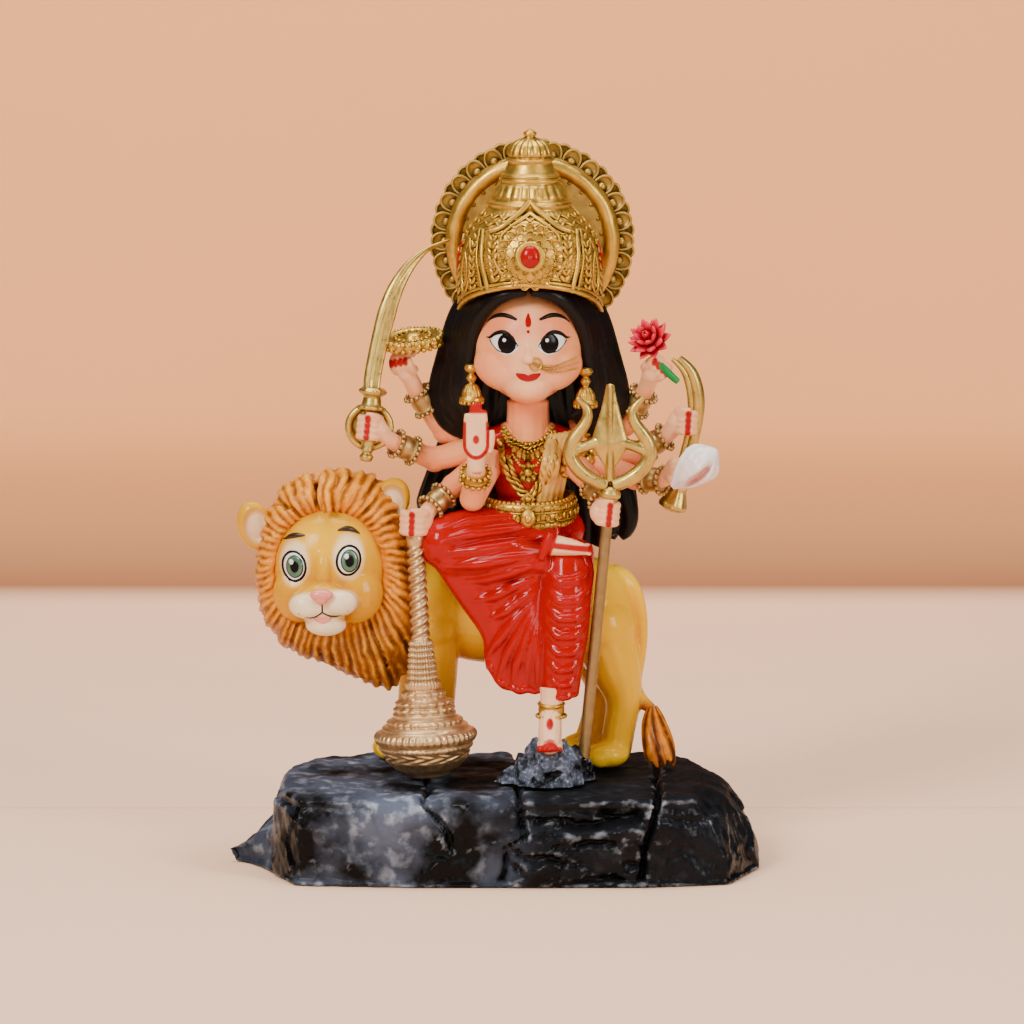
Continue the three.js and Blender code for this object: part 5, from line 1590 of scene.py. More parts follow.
folds = [
    [(11, 78.4, 0.5), (3, 78.0, 1.0), (-6, 77.2, 1.1), (-13, 75.0, 0.5)],
    [(12, 76.2, 0.5), (3, 75.2, 1.1), (-6, 74.4, 1.2), (-14, 72.8, 0.6)],
    [(12, 73.6, 0.5), (4, 72.4, 1.2), (-4, 71.2, 1.3), (-13, 70.4, 0.6)],
    [(10, 70.4, 0.7), (3, 69.4, 1.3), (-4, 68.2, 1.3), (-11.4, 67.2, 0.6)],
    [(10, 68.2, 0.8), (4, 66.6, 1.3), (-2, 64.6, 1.3), (-8.6, 63.8, 0.6)],
    [(10, 65.6, 0.8), (5, 63.4, 1.2), (0, 60.8, 1.3), (-5.6, 59.4, 0.6)],
    [(9.6, 62.6, 0.7), (6, 60.2, 1.1), (2.2, 57.2, 1.2), (-2.6, 55.0, 0.6)],
    [(9.4, 60.6, 0.5), (5.0, 56.2, 1.1), (1.0, 50.8, 1.3), (-1.8, 46.6, 1.0)],
    [(9.6, 60.0, 0.5), (6.2, 54.4, 1.1), (3.0, 48.0, 1.3), (0.9, 42.2, 1.0)],
    [(9.8, 59.6, 0.5), (7.4, 53.4, 1.1), (5.2, 46.4, 1.3), (3.9, 40.0, 1.0)],
    [(10.1, 59.4, 0.5), (8.8, 52.8, 1.1), (7.6, 46.0, 1.2), (6.9, 39.8, 1.0)],
    [(10.5, 59.6, 0.5), (10.2, 52.6, 1.1), (9.9, 46.0, 1.2), (9.7, 39.6, 1.0)],
    [(11.2, 67.4, 0.6), (14, 64.4, 1.1), (18, 64.8, 1.2), (21.6, 68, 0.6)],
    [(11.2, 63.6, 0.6), (14.2, 60.4, 1.1), (18, 60.6, 1.2), (21.6, 63.8, 0.6)],
    [(11.2, 59.8, 0.6), (14.2, 56.6, 1.1), (17.8, 56.8, 1.2), (21.2, 59.8, 0.6)],
    [(11.2, 56.0, 0.6), (14.0, 52.8, 1.1), (17.4, 53.0, 1.2), (20.8, 56.0, 0.6)],
    [(11.2, 52.2, 0.5), (14.0, 49.0, 1.0), (17.2, 49.2, 1.1), (20.2, 52.2, 0.5)],
    [(11.2, 48.4, 0.5), (14.0, 45.4, 1.0), (16.8, 45.6, 1.0), (19.4, 48.4, 0.5)],
    [(11.6, 44.6, 0.5), (14.0, 42.0, 0.9), (16.4, 42.2, 0.9), (18.6, 44.4, 0.5)],
    [(10.8, 39.9, 0.8), (13.0, 39.3, 0.9), (16.0, 39.3, 0.9), (18.2, 39.9, 0.7)],
    [(-2.0, 47.4, 0.8), (-0.6, 44.6, 0.9), (0.8, 42.2, 0.9), (2.4, 40.6, 0.9), (4.2, 40.6, 0.9),
        (5.6, 39.8, 0.9), (7.4, 40.4, 0.9), (9.0, 39.8, 0.8), (10.6, 40.2, 0.7)],
    [(17, 74, 0.6), (20.0, 71, 1.1), (21.2, 66, 1.0), (21.0, 60, 0.5)],
]
folds = [
    [(x, z, r if 0 < i < len(route) - 1 else r * 0.5) for i, (x, z, r) in enumerate(route)]
    for route in folds
]
fold_rolls = rolls([drape(base_cloth, route, -0.35) for route in folds], 3, 4)
skirt = fuse("skirt", [base_cloth, fold_rolls], 0.32, 2)
finish(skirt, red_enamel, "red_cloth", "dhoti_folded_leg", "dhoti_hanging_leg", "dhoti_pleats")

# %% [markdown]
# One foot stands on the crag, under a beaded anklet. The other is folded on the knee and shows its
# sole. Toes, soles and a drop on the instep are painted red, as on a dancer's foot.

# %% Feet
TOE_RED = (0.42, 0.0, 0.002)
foot_home = at("standing_foot", 0.5, 0.5, 0.0)
sole = shift(foot_home, 0, -0.6, 1.7)
foot_clay = [
    rolls([trail(ankle, (0.3, 0.8, 4.6, 2.9), (0.0, 0.2, 0, 2.3), (-0.2, -0.8, -1.6, 2.5)),
            [(shift(ankle, -0.2, -0.6, -1.6), 2.5), (shift(sole, 0, 1.2, 2.4), 2.7),
            (shift(sole, 0, -2.0, 0.6), 2.5), (shift(sole, 0, -3.6, -0.1), 2.0)]], 4),
    lump(shift(sole, 0, -0.8, 0.1), (2.9, 4.2, 1.9)),
]
for i in range(5):
    foot_clay.append(lump(shift(sole, -2.2 + 1.1 * i, -4.5 + 0.32 * abs(i - 1), -0.3),
            (0.66, 1.2, 0.85 - 0.05 * i), detail=14))
foot = fuse("standing_foot_cast", foot_clay, 0.24, 2)
spots = points_of(foot)
brush(foot, HIGHLIGHT_AND_PALE_SKIN, [
        (TOE_RED, smoothstep(-3.9, -4.4, (spots[:, 1] - sole.y) / MM)),
        (TOE_RED, egg_mask(spots, shift(sole, 0, -0.9, 4.6), (0.8, 2.2, 1.3), 0.3)),
        (BLUSH_AND_SHADE, 0.5 * smoothstep(-1.0, -2.2, (spots[:, 2] - sole.z) / MM)),
    ])
finish(foot, casting_paint, "skin", "standing_foot")
anklet_ring = turn("anklet_ring", [(0, -1.7), (2.7, -1.7), (3.1, -1.3), (2.8, -0.9), (2.9, 0),
        (2.8, 0.9), (3.1, 1.3), (2.7, 1.7), (0, 1.7)], 40, 0.3)
stand(anklet_ring, shift(ankle, 0, 0.3, -0.1), (0.0, -0.12, 1))
anklet_turns = [2 * math.pi * i / 12 for i in range(12)]
anklet_knots = [shift(ankle, 3.1 * math.sin(t), 0.3 - 3.1 * math.cos(t), -1.5) for t in anklet_turns]
anklet_beads = bead_row("anklet_beads", anklet_knots, 0.45)
finish(join("anklet_beads", [anklet_ring, anklet_beads]), crown_gold, "antique_gold", "anklet")
folded_home = at("folded_foot", 0.5, 0.42, 0.5)
folded_clay = [
    rolls([
            trail(folded_home, (-4.4, 1.2, 0.2, 2.5), (-1.0, 0.2, 0.0, 2.2), (2.6, 0, -0.5, 1.6),
            (4.8, -0.1, -0.9, 1.1)),
            trail(folded_home, (-3.4, -0.6, 3.0, 0.8), (-4.6, -0.9, 0.2, 1.5), (-5.6, -0.3, -3.0, 0.8)),
        ], 4),
]
for i in range(4):
    folded_clay.append(lump(shift(folded_home, 5.0 - 0.2 * i, -0.8 + 0.6 * i, -1.5 + 0.5 * i),
            (1.0, 0.5, 0.5), detail=14))
folded = fuse("folded_foot_cast", folded_clay, 0.24, 2)
spots = points_of(folded)
line = np.abs((spots[:, 2] - folded_home.z) / MM + 0.12 * (spots[:, 0] - folded_home.x) / MM)
brush(folded, HIGHLIGHT_AND_PALE_SKIN, [
        (TOE_RED, smoothstep(0.85, 0.5, line)),
        (TOE_RED, smoothstep(4.9, 5.5, (spots[:, 0] - folded_home.x) / MM)),
        (RED, smoothstep(-2.6, -3.0,
            ((spots[:, 0] - folded_home.x) - 0.36 * (spots[:, 2] - folded_home.z)) / MM)),
    ])
finish(folded, casting_paint, "skin", "folded_foot")

# %% [markdown]
# ## The torso and its ornaments
#
# A red bodice with a cap sleeve, a satin sash over the other shoulder, and over both the jewellery:
# a choker, a pendant, a long rope garland with a square drop, and a wide belt of beads and leaves.
# Chains and ropes are draped on the body in the same way as the folds.

# %% Torso
middle = shift(waist, 0, 0, 9)
torso_clay = [
    lump(middle, (7.6, 5.6, 10.4), detail=30),
    lump(shift(waist, 0, 0, 1.0), (8.2, 6.0, 5.0), detail=30),
    rolls([trail(shoulders, (-9.0, 0.2, -3.4, 2.9), (-4, 0, -1.9, 3.5), (0, 0, -1.5, 3.7),
            (4, 0, -1.9, 3.5), (9.0, 0.2, -3.4, 2.9))], 4),
    lump(shift(middle, -3.5, -4.4, 3.2), (3.5, 2.9, 3.5)),
    lump(shift(middle, 3.5, -4.4, 3.2), (3.5, 2.9, 3.5)),
    lump(shift(shoulders, -9.2, 0.0, -4.2), (3.2, 3.5, 3.6)),
]
torso = fuse("torso_cast", torso_clay, 0.34, 4)
spots = points_of(torso)
neckline = egg_mask(spots, shift(shoulders, 0, -2, 1.2), (5.8, 8, 4.4), 0.12)
brush(torso, RED, [
        (SKIN, neckline),
        # painted shade: a thin darker line between the bust lumps
        ((0.40, 0.004, 0.008), 0.6 * egg_mask(spots, shift(middle, 0, -7, 1), (0.7, 3, 3), 1.0)),
    ])
finish(torso, casting_paint, "red_cloth", "torso")

sash_paint = enamel("sash_paint", (0.82, 0.47, 0.10), (0.65, 0.45, 0.25), 0.26, 0.6)
sash_rolls = []
for i in range(5):
    x = 10.8 + 1.15 * i
    sash_rolls.append(drape(torso, [(x + 1.6, 95.6, 0.9), (x + 0.9, 92, 1.05), (x + 0.3, 88, 1.05),
                (x - 0.4, 84, 0.95), (x - 1.0, 80.5, 0.8)], 0.1))
sash_rolls = [path for path in sash_rolls if len(path) > 2]
sash = fuse("sash_cast", [rolls(sash_rolls, 3, 4)], 0.24, 5)
finish(sash, sash_paint, "gold_sash", "sash")


# %% [markdown]
# The choker is two bead rows, a rope and small drops. The garland is two twisted ropes with a flower
# between them and a square plaque at the lowest point. The belt is three soft rings with beads above
# and below, and leaves and a buckle on top.

# %% Jewellery
def chain(name, target, route, radius, gap=None, lift=0.2):
    """Beads hung along a route of (x, z) pairs on the front of a piece."""
    knots = [spot for spot, _ in drape(target, [(x, z, 1) for x, z in route], lift)]
    return bead_row(name, knots, radius, gap)


def rope(target, route, radius, lift=0.1, twists=1.1):
    """Two wires twisted together along a route on a piece."""
    knots = [spot for spot, _ in drape(target, [(x, z, 1) for x, z in route], lift)]
    line = smooth_line(knots, 0.35)
    paths = []
    for half in (0, math.pi):
        path = []
        for i, spot in enumerate(line):
            along = Vector(line[min(i + 1, len(line) - 1)] - line[max(i - 1, 0)]).normalized()
            side = along.cross(Vector((0, -1, 0))).normalized()
            t = i * 0.35 * twists / radius + half
            path.append((Vector(spot) + (side * math.cos(t) + Vector((0, -1, 0)) * math.sin(t)) * radius
                    * 0.5 * MM, radius * 0.62))
        paths.append(path)
    return rolls(paths, 2)


neck_x = shoulders.x / MM
choker_parts = [
    chain("choker_top", torso, [(neck_x - 5.2, 96.8), (neck_x - 3.6, 94.6), (neck_x, 93.3),
            (neck_x + 3.6, 94.6), (neck_x + 5.2, 96.8)], 0.55, lift=0.5),
    chain("choker_low", torso, [(neck_x - 5.8, 96.0), (neck_x - 4.0, 93.0), (neck_x, 91.6),
            (neck_x + 4.0, 93.0), (neck_x + 5.8, 96.0)], 0.48, lift=0.5),
    rope(torso, [(neck_x - 5.5, 96.4), (neck_x - 3.9, 93.8), (neck_x, 92.5), (neck_x + 3.9, 93.8),
            (neck_x + 5.5, 96.4)], 0.45, 0.5),
]
petal = petal_motif(1.0, 0.75, 0.8)
places = []
for x, z in ((-3, 92.3), (-2, 91.5), (-1, 91.0), (0, 90.8), (1, 91.0), (2, 91.5), (3, 92.3)):
    spot, _ = cast(torso, (neck_x + x) * MM, z * MM)
    places.append(Matrix.Translation(spot + Vector((0, -0.5 * MM, 0))))
choker_parts.append(repeat("choker_drops", petal, places))
choker = join("choker_beads", choker_parts)
finish(choker, crown_gold, "antique_gold", "choker")

garland_route = [(neck_x - 6.2, 94.4), (neck_x - 5.6, 90.4), (neck_x - 4.0, 86), (neck_x - 1.6, 82.6),
    (neck_x, 81.8), (neck_x + 1.6, 82.6), (neck_x + 4.0, 86), (neck_x + 5.6, 90.4), (neck_x + 6.2, 94.4)]
inner_route = [(neck_x + (x - neck_x) * 0.78, z + 0.9) for x, z in garland_route[1:-1]]
pendant = cast(torso, neck_x * MM, 87.4 * MM)[0] + Vector((0, -0.7 * MM, 0))
drop_at = cast(torso, neck_x * MM, 81.4 * MM)[0] + Vector((0, -0.8 * MM, 0))
flower_places = []
for i in range(8):
    spin = Matrix.Rotation(2 * math.pi * i / 8, 4, "Y")
    flower_places.append(Matrix.Translation(pendant) @ spin @ Matrix.Translation((0, 0, 1.35 * MM)))
garland_parts = [
    rope(torso, garland_route, 0.8, 0.5),
    rope(torso, inner_route, 0.62, 0.5),
    repeat("garland_petals", petal, flower_places),
    lump(pendant, (1.0, 0.9, 1.0)),
    chain("pendant_chain", torso, [(neck_x - 3.4, 91.4), (neck_x - 1.8, 89.2), (neck_x, 88.6),
            (neck_x + 1.8, 89.2), (neck_x + 3.4, 91.4)], 0.4, lift=0.4),
]
fresh()
bpy.ops.mesh.primitive_cube_add(size=2.6 * MM, location=drop_at, rotation=(0, math.pi / 4, 0))
bpy.context.object.scale = (1, 0.5, 1)
bpy.ops.object.transform_apply(location=True, rotation=True, scale=True)
plaque = modify(bpy.context.object, "BEVEL", width=0.3 * MM, segments=3)
garland_parts += [plaque, lump(shift(drop_at, 0, -0.7, 0), (0.8, 0.6, 0.8))]
bpy.data.objects.remove(petal)
garland = join("garland_ropes", garland_parts)
finish(garland, crown_gold, "antique_gold", "long_necklace")

BELT_X, BELT_Y = 9.4, 7.2
belt_middle = at("belt", 0.5, 0.52, 0.44)


def belt_spot(angle, height, lift=0.0):
    return shift(belt_middle, (BELT_X + lift) * math.sin(angle), -(BELT_Y + lift) * math.cos(angle),
        height - 0.9 * math.cos(angle))


belt_turns = [2 * math.pi * i / 40 for i in range(42)]
belt_parts = [rolls([
            [(belt_spot(a, 0), 1.5) for a in belt_turns],
            [(belt_spot(a, -1.9), 1.3) for a in belt_turns],
            [(belt_spot(a, 1.9), 1.3) for a in belt_turns],
            [(belt_spot(a, 0.95, 1.1), 0.30) for a in belt_turns],
            [(belt_spot(a, -0.95, 1.1), 0.30) for a in belt_turns],
        ], 3)]
belt_parts.append(bead_row("belt_top", [belt_spot(a, 2.9, 0.35) for a in belt_turns[:-1]], 0.62))
belt_parts.append(bead_row("belt_low", [belt_spot(a, -2.9, 0.35) for a in belt_turns[:-1]], 0.62))
petal = petal_motif(0.9, 0.62, 0.8)
places = []
for i in range(30):
    a = 2 * math.pi * i / 30
    spin = Matrix.Rotation(a, 4, "Z")
    places.append(Matrix.Translation(belt_spot(a, 0, 1.45)) @ spin)
    for s in (-1, 1):
        places.append(Matrix.Translation(belt_spot(a + 0.1, 1.8 * s, 1.1)) @ spin @ Matrix.Scale(0.8, 4))
belt_parts.append(repeat("belt_leaves", petal, places))
bpy.data.objects.remove(petal)
buckle = belt_spot(0, 0, 1.6)
belt_parts += [lump(buckle, (1.7, 0.9, 2.1)), lump(shift(buckle, 0, -0.7, 0), (0.8, 0.6, 1.0))]
belt = join("belt_beads", belt_parts)
finish(belt, crown_gold, "antique_gold", "belt")
# %% [markdown]
# ## The eight arms
#
# Every arm is a roll from shoulder to elbow to wrist. A hand is a palm with four fingers that wrap
# round whatever it holds and a thumb across them; the finger tips are painted red. On each wrist sits
# a wide cuff between two rows of beads, and a bead armlet closes each upper arm but the mace arm's.

# %% Arms and hands
def from_shoulder(x, y, z):
    return shift(shoulders, x, y, z)


ARMS = {
    "sword": dict(joints=[(-8.6, 1.5, -3.8), (-20.6, 0.6, -7.4), (-29.0, -3.2, -3.2),
            (-34.9, -5.2, 0.7)], grip=(0.10, 0.1, 1), radius=1.5),
    "chakra": dict(joints=[(-8.6, 3.0, -2.0), (-18.4, 4.0, -1.6), (-24.6, 2.0, 7.6), (-27.2, 0.6, 14.2)],
        grip=(0.8, -0.5, 0.2), radius=1.2),
    "mace": dict(joints=[(-8.4, 0, -7.0), (-16.4, -2.6, -12.6), (-21.0, -6.4, -16.6),
            (-25.0, -9.8, -19.6)], grip=(0.04, 0, 1), radius=2.0),
    "trident": dict(joints=[(8.6, -1.0, -6.2), (13.6, -6.6, -11.0), (15.8, -10.8, -14.0),
            (17.4, -13.4, -17.0)], grip=(0.10, 0, 1), radius=1.4),
    "conch": dict(joints=[(9.6, 1.0, -6.2), (23.6, -2.0, -11.0), (28.8, -5.2, -11.0),
            (33.6, -7.8, -9.4)], grip=(0.6, 0, 0.8), radius=1.4),
    "bow": dict(joints=[(9.6, 2.6, -4.0), (24.0, 2.2, -6.2), (29.6, 0.6, -2.6), (34.8, -0.8, 1.4)],
        grip=(0.05, 0, 1), radius=1.5),
    "lotus": dict(joints=[(9.2, 3.4, -1.8), (21.4, 5.0, -0.2), (25.4, 2.0, 7.0), (28.4, -0.6, 13.6)],
        grip=(-0.7, -0.2, 0.7), radius=1.1),
}


def frame_of(along, front):
    """Three unit axes: along the grip, out to the front, and across."""
    along = Vector(along).normalized()
    out = (Vector(front) - along * along.dot(Vector(front))).normalized()
    return along, out, along.cross(out)


def hand_clay(fist, wrist, grip, radius):
    """A hand closed round a bar. The wrist tells which side the palm is on."""
    along, out, across = frame_of(grip, (0, -1, 0.12))
    back = (wrist - fist).normalized()
    side = 1 if across.dot(back) > 0 else -1
    clay = [lump(fist + across * side * 1.9 * MM + out * -0.3 * MM, (2.1, 2.3, 2.6), detail=18)]
    clay.append(rolls([[(wrist, 1.9), (wrist.lerp(fist, 0.45), 1.9),
                (fist + across * side * 2.2 * MM, 2.0)]], 4))
    fingers, tips = [], []
    reach = radius + 0.75
    for k in range(4):
        level = along * ((k - 1.5) * 1.32 * MM)
        path = []
        for step in range(7):
            t = math.radians(-35 + 42 * step)
            ring = across * side * math.cos(t) + out * math.sin(t)
            path.append((fist + level + ring * reach * MM, 0.86 if step < 6 else 0.74))
        fingers.append(path)
        tips.append(fist + level + (across * -side * 0.15 + out) * (reach + 0.6) * MM)
    thumb = [
        (fist + across * side * 2.2 * MM + along * 2.0 * MM, 1.0),
        (fist + across * side * 1.2 * MM + out * (reach + 0.3) * MM + along * 2.9 * MM, 0.9),
        (fist - across * side * 0.9 * MM + out * (reach + 0.4) * MM + along * 2.7 * MM, 0.74),
    ]
    clay.append(rolls(fingers + [thumb], 3, 3))
    return clay, tips


def cuff(wrist, elbow, size=1.0, length=4.4):
    """A plain sleeve of metal between two rows of beads."""
    half = length / 2
    profile = [(0, -half), (2.7, -half), (2.9, -half + 0.4), (2.6, -half + 0.9), (2.75, 0),
        (2.6, half - 0.9), (2.9, half - 0.4), (2.7, half), (0, half)]
    ring = turn("cuff_ring", [(r * size, h) for r, h in profile], 40, 0.35)
    studs = bead_rings("cuff_beads", [(3.0 * size, level, 0.56, 15) for level in (-half, half)])
    piece = join("cuff", [ring, studs])
    towards = (wrist - elbow).normalized()
    return stand(piece, wrist.lerp(elbow, 0.22), towards)


def armlet(spot, along, size):
    """A bead ring round an upper arm."""
    return stand(bead_rings("armlet", [(size, 0, 1.25, 9)]), spot, along)


cuff_gold = antique("cuff_gold", (0.55, 0.36, 0.13), (0.11, 0.055, 0.02), 0.36)
armlets = []
for name, arm in ARMS.items():
    shoulder, elbow, wrist, fist = [from_shoulder(*j) for j in arm["joints"]]
    clay, tips = hand_clay(fist, wrist, arm["grip"], arm["radius"])
    bar = rolls([[(shoulder, 3.0), (shoulder.lerp(elbow, 0.5), 2.9), (elbow, 2.65),
                (elbow.lerp(wrist, 0.6), 2.2), (wrist, 1.95)]], 5)
    arm["elbow"], arm["wrist"], arm["fist"] = elbow, wrist, fist
    limb = fuse(f"{name}_arm_cast", [bar, lump(elbow, (2.7, 2.7, 2.7))] + clay, 0.25, 2)
    spots = points_of(limb)
    coats = [
        (HIGHLIGHT_AND_PALE_SKIN, 0.6 * egg_mask(spots, fist, (5.5, 5.5, 5.5), 0.6)),
        (BLUSH_AND_SHADE, 0.35 * egg_mask(spots, elbow, (4.5, 4.5, 4.5), 1.0)),
        # painted shade where the arm meets the body
        (BLUSH_AND_SHADE, 0.45 * egg_mask(spots, shoulder, (5, 5, 5), 1.0)),
    ]
    coats += [(TOE_RED, egg_mask(spots, tip, (0.72, 1.5, 1.0), 0.3)) for tip in tips]
    brush(limb, SKIN, coats)
    finish(limb, casting_paint, "skin", f"arm_{name}")
    bracelet = cuff(wrist, elbow)
    bracelet.name = f"{name}_cuff_beads"
    finish(bracelet, cuff_gold, "antique_gold", f"cuff_{name}")
    if name != "mace":
        armlets.append(armlet(shoulder.lerp(elbow, 0.30), (elbow - shoulder).normalized(), 3.0))
armlet_row = join("armlet_beads", armlets)
finish(armlet_row, crown_gold, "antique_gold")

# %% [markdown]
# The eighth hand is open, palm to the front: a flat mitten with joined fingers. Its finger tips, a
# line round the palm and a drop in the middle are painted red.

# %% Open hand
shoulder, elbow, wrist = from_shoulder(-7.2, -2.6, -5.6), from_shoulder(-12.2, -8.0,
    -14.6), from_shoulder(-11.4, -12.0, -7.6)
palm = from_shoulder(-11.4, -13.4, 0.6)
palm_clay = [
    rolls([[(shoulder, 3.0), (shoulder.lerp(elbow, 0.5), 2.9), (elbow, 2.8)],
            [(elbow, 2.8), (elbow.lerp(wrist, 0.5), 2.6), (wrist, 2.1)]], 5),
    lump(elbow, (2.9, 2.9, 2.9)),
    lump(shift(palm, 0, 0.2, -2.6), (3.0, 1.5, 3.4), detail=26),
    rolls([trail(palm, (x, 0.1, -1.5, 0.95), (x * 0.96, -0.1, 3.0, 0.92), (x * 0.86, -0.2, z, 0.8))
            for x, z in ((-2.0, 4.4), (-0.75, 6.5), (0.55, 6.9), (1.8, 5.2))], 4),
    rolls([trail(palm, (2.4, 0, -3.8, 1.3), (3.5, -0.5, -1.4, 0.95), (3.3, -0.5, 0.8, 0.75))], 4),
    rolls([[(wrist, 2.0), (shift(palm, 0, 0.4, -4.0), 2.0)]], 4),
]
mitten = fuse("blessing_arm_cast", palm_clay, 0.24, 3)
spots = points_of(mitten)
sx, sz = (spots[:, 0] - palm.x) / MM, (spots[:, 2] - palm.z) / MM
front = smoothstep(0.6, -0.2, (spots[:, 1] - palm.y) / MM)
u_shape = np.abs(np.hypot(sx, np.minimum(sz + 2.2, 0) * 0.85) - 2.55)
in_hand = egg_mask(spots, palm, (5.5, 4, 9.2), 0.1)
brush(mitten, SKIN, [
        (HIGHLIGHT_AND_PALE_SKIN, 0.9 * in_hand),
        (BLUSH_AND_SHADE, 0.35 * egg_mask(spots, elbow, (4.5, 4.5, 4.5), 1.0)),
        (TOE_RED, in_hand * front * smoothstep(0.55, 0.3, u_shape) * smoothstep(3.0, 2.4,
            sz) * smoothstep(-6.4, -5.6, sz)),
        (TOE_RED, in_hand * smoothstep(4.3, 4.8, sz)),
        (TOE_RED, egg_mask(spots, shift(palm, 0, -1.4, -1.2), (0.75, 1.6, 1.0), 0.3)),
    ])
finish(mitten, casting_paint, "skin", "arm_blessing")
bracelet = cuff(wrist, elbow, 1.05, 2.2)
bracelet.name = "blessing_cuff_beads"
finish(bracelet, crown_gold, "antique_gold", "cuff_blessing")

# %% [markdown]
# ## What the hands hold
#
# A curved sword, a toothed disc, a trident, a conch, a bow and a lotus. The sword has a turned hilt
# inside a ring-shaped guard with a round plate, and a blade that is one section carried along a curve.

# %% Sword
fist = ARMS["sword"]["fist"]
along, out, across = frame_of(ARMS["sword"]["grip"], (0, -1, 0.1))
hilt = turn("sword_hilt", [
        (0, -7.6), (1.2, -7.4), (1.6, -6.4), (1.0, -5.6), (1.5, -5.0), (1.4, -4.4), (1.35, 3.6),
        (2.9, 4.0), (3.1, 4.5), (2.2, 5.0), (1.9, 6.8), (2.9, 7.6), (3.0, 8.2), (2.4, 8.8), (0, 9.2),
    ], 40, 0.35, lambda angle, height, radius: 0.18 * np.cos(10 * angle) * band(height, 3.8, 4.8)
    + 0.14 * np.cos(12 * angle) * band(height, 7.2, 8.6))
stand(hilt, fist, along)
guard_ring = rolls([[(fist + (across * math.cos(t) * 4.7 + along * math.sin(t) * 4.6) * MM
            + Vector((0, 0.9, 0)) * MM, 0.75) for t in np.linspace(0, 2 * math.pi, 22)]], 3)
plate = lump(fist + Vector((0, 2.6 * MM, 0)), (4.6, 0.9, 4.4), detail=28)
blade_line = [(0.5, 0, 8.0, 2.2), (0.9, 0.8, 12, 2.25), (2.7, 2.2, 20.5, 2.3), (5.1, 3.6, 28.6, 2.45),
    (8.2, 5.4, 34.2, 2.1), (12.0, 7.4, 38.0, 1.5), (15.6, 9.2, 39.6, 0.7), (17.6, 10.2, 40.2, 0.3)]
centre = smooth_line([shift(fist, *p[:3]) for p in blade_line], 0.5)
widths = np.interp(np.linspace(0, 1, len(centre)), np.linspace(0, 1, len(blade_line)),
    [p[3] for p in blade_line])
section = [(-1.0, 0.0), (-0.62, -0.34), (-0.15, -0.40), (0.02, -0.16), (0.55, -0.20), (1.0, 0.0),
    (0.5, 0.22), (-0.5, 0.34)]
spots, faces = [], []
for i, spot in enumerate(centre):
    step = Vector(centre[min(i + 1, len(centre) - 1)] - centre[max(i - 1, 0)]).normalized()
    wide = step.cross(Vector((0, 1, 0))).normalized() * -1
    deep = wide.cross(step).normalized()
    deep = deep if deep.y > 0 else -deep
    for a, b in section:
        spots.append(Vector(spot) - wide * (-a * widths[i] * MM)
            + deep * (b * min(widths[i], 2.0) * 1.1 * MM))
count = len(section)
for i in range(len(centre) - 1):
    for k in range(count):
        j = (k + 1) % count
        faces.append((i * count + k, i * count + j, (i + 1) * count + j, (i + 1) * count + k))
faces += [tuple(range(count)), tuple((len(centre) - 1) * count + k for k in reversed(range(count)))]
blade = mesh_piece("sword_blade", spots, [], faces)
pick(blade)
bpy.ops.object.mode_set(mode="EDIT")
bpy.ops.mesh.select_all(action="SELECT")
bpy.ops.mesh.normals_make_consistent(inside=False)
bpy.ops.object.mode_set(mode="OBJECT")
modify(blade, "SUBSURF", levels=1)
bpy.ops.object.shade_smooth()
sword = join("curved_sword", [blade, hilt, guard_ring, plate])
finish(sword, trident_gold, "antique_gold", "sword")

# %% [markdown]
# The disc is turned with raised rings and a boss. Its rim is cut into eighteen teeth, and beads are
# set on both sides of the rim and round the middle.

# %% Toothed disc
disc_at = at("chakra", 0.5, 0.5, 0.5)
disc = turn("chakra_disc", [
        (0, -1.0), (5.0, -1.1), (6.4, -0.9), (6.7, 0), (6.4, 0.9), (5.8, 1.1), (5.2, 0.7), (4.6, 0.6),
        (4.0, 0.9), (3.4, 0.6), (2.2, 0.6), (1.8, 1.4), (1.0, 1.8), (0, 1.9),
    ], 72, 0.35, lambda angle, height, radius: 0.34 * np.cos(18 * angle) * smoothstep(5.8, 6.4, radius))
studs = bead_rings("chakra_studs", [(6.3, 0.75, 0.62, 26), (6.3, -0.75, 0.62, 26), (3.9, 1.0, 0.45, 18)])
chakra = join("toothed_disc", [disc, studs])
chakra.data.transform(Matrix.Translation(disc_at) @ Euler((0.16, -0.10, 0)).to_matrix().to_4x4())
finish(chakra, crown_gold, "antique_gold", "chakra")

# %% [markdown]
# The trident's shaft is one long roll. Its head is fused from two curled side prongs, a leaf-shaped
# middle prong, a web between them and a ridge, and stands on a turned knob.

# %% Trident
foot, neck = at("trident_shaft", 0.14, 0.5, 0.0, (0, 0, 1.0)), at("trident_head", 0.5, 0.5, 0.0,
    (-0.4, 0, 0))
fist = ARMS["trident"]["fist"]
shaft = rolls([[(foot, 1.35), (foot.lerp(neck, 0.4), 1.3), (foot.lerp(neck, 0.8), 1.25), (neck, 1.2)]], 5)
axis = (neck - foot).normalized()
knob = stand(turn("trident_knob", [(0, -2.4), (1.6, -2.2), (2.0, -1.6), (1.7, -1.1), (2.3, -0.6),
            (2.4, 0.2), (1.9, 1.1), (1.1, 1.8), (0, 2.1)], 36, 0.3), neck, axis)
prongs = []
for s in (-1, 1):
    prongs.append(trail(neck, (0.6 * s, 0, 1.8, 1.5), (5.0 * s, 0, 3.2, 1.6), (9.4 * s, 0, 7.4, 1.7),
            (8.4 * s, 0, 12.4, 1.6), (4.6 * s, 0, 15.8, 1.3), (4.6 * s, 0, 19.4, 1.0),
            (7.4 * s, 0, 21.2, 0.5)))
prong_piece = rolls(prongs, 4, 4)
leaf_line = [(0, 0.8, 0.9), (0, 6, 1.2), (0, 11, 4.4), (0, 14, 3.5), (0, 18.5, 2.1), (0, 22.4, 1.25),
    (0, 24.2, 0.95)]
leaf_piece = turn("trident_leaf", [(0, 0.8)] + [(r, h) for _, h, r in leaf_line] + [(0, 24.4)], 24, 0.5)
leaf_piece.data.transform(Matrix.Diagonal((1, 0.34, 1, 1)))
leaf_piece.data.transform(Matrix.Translation(neck))
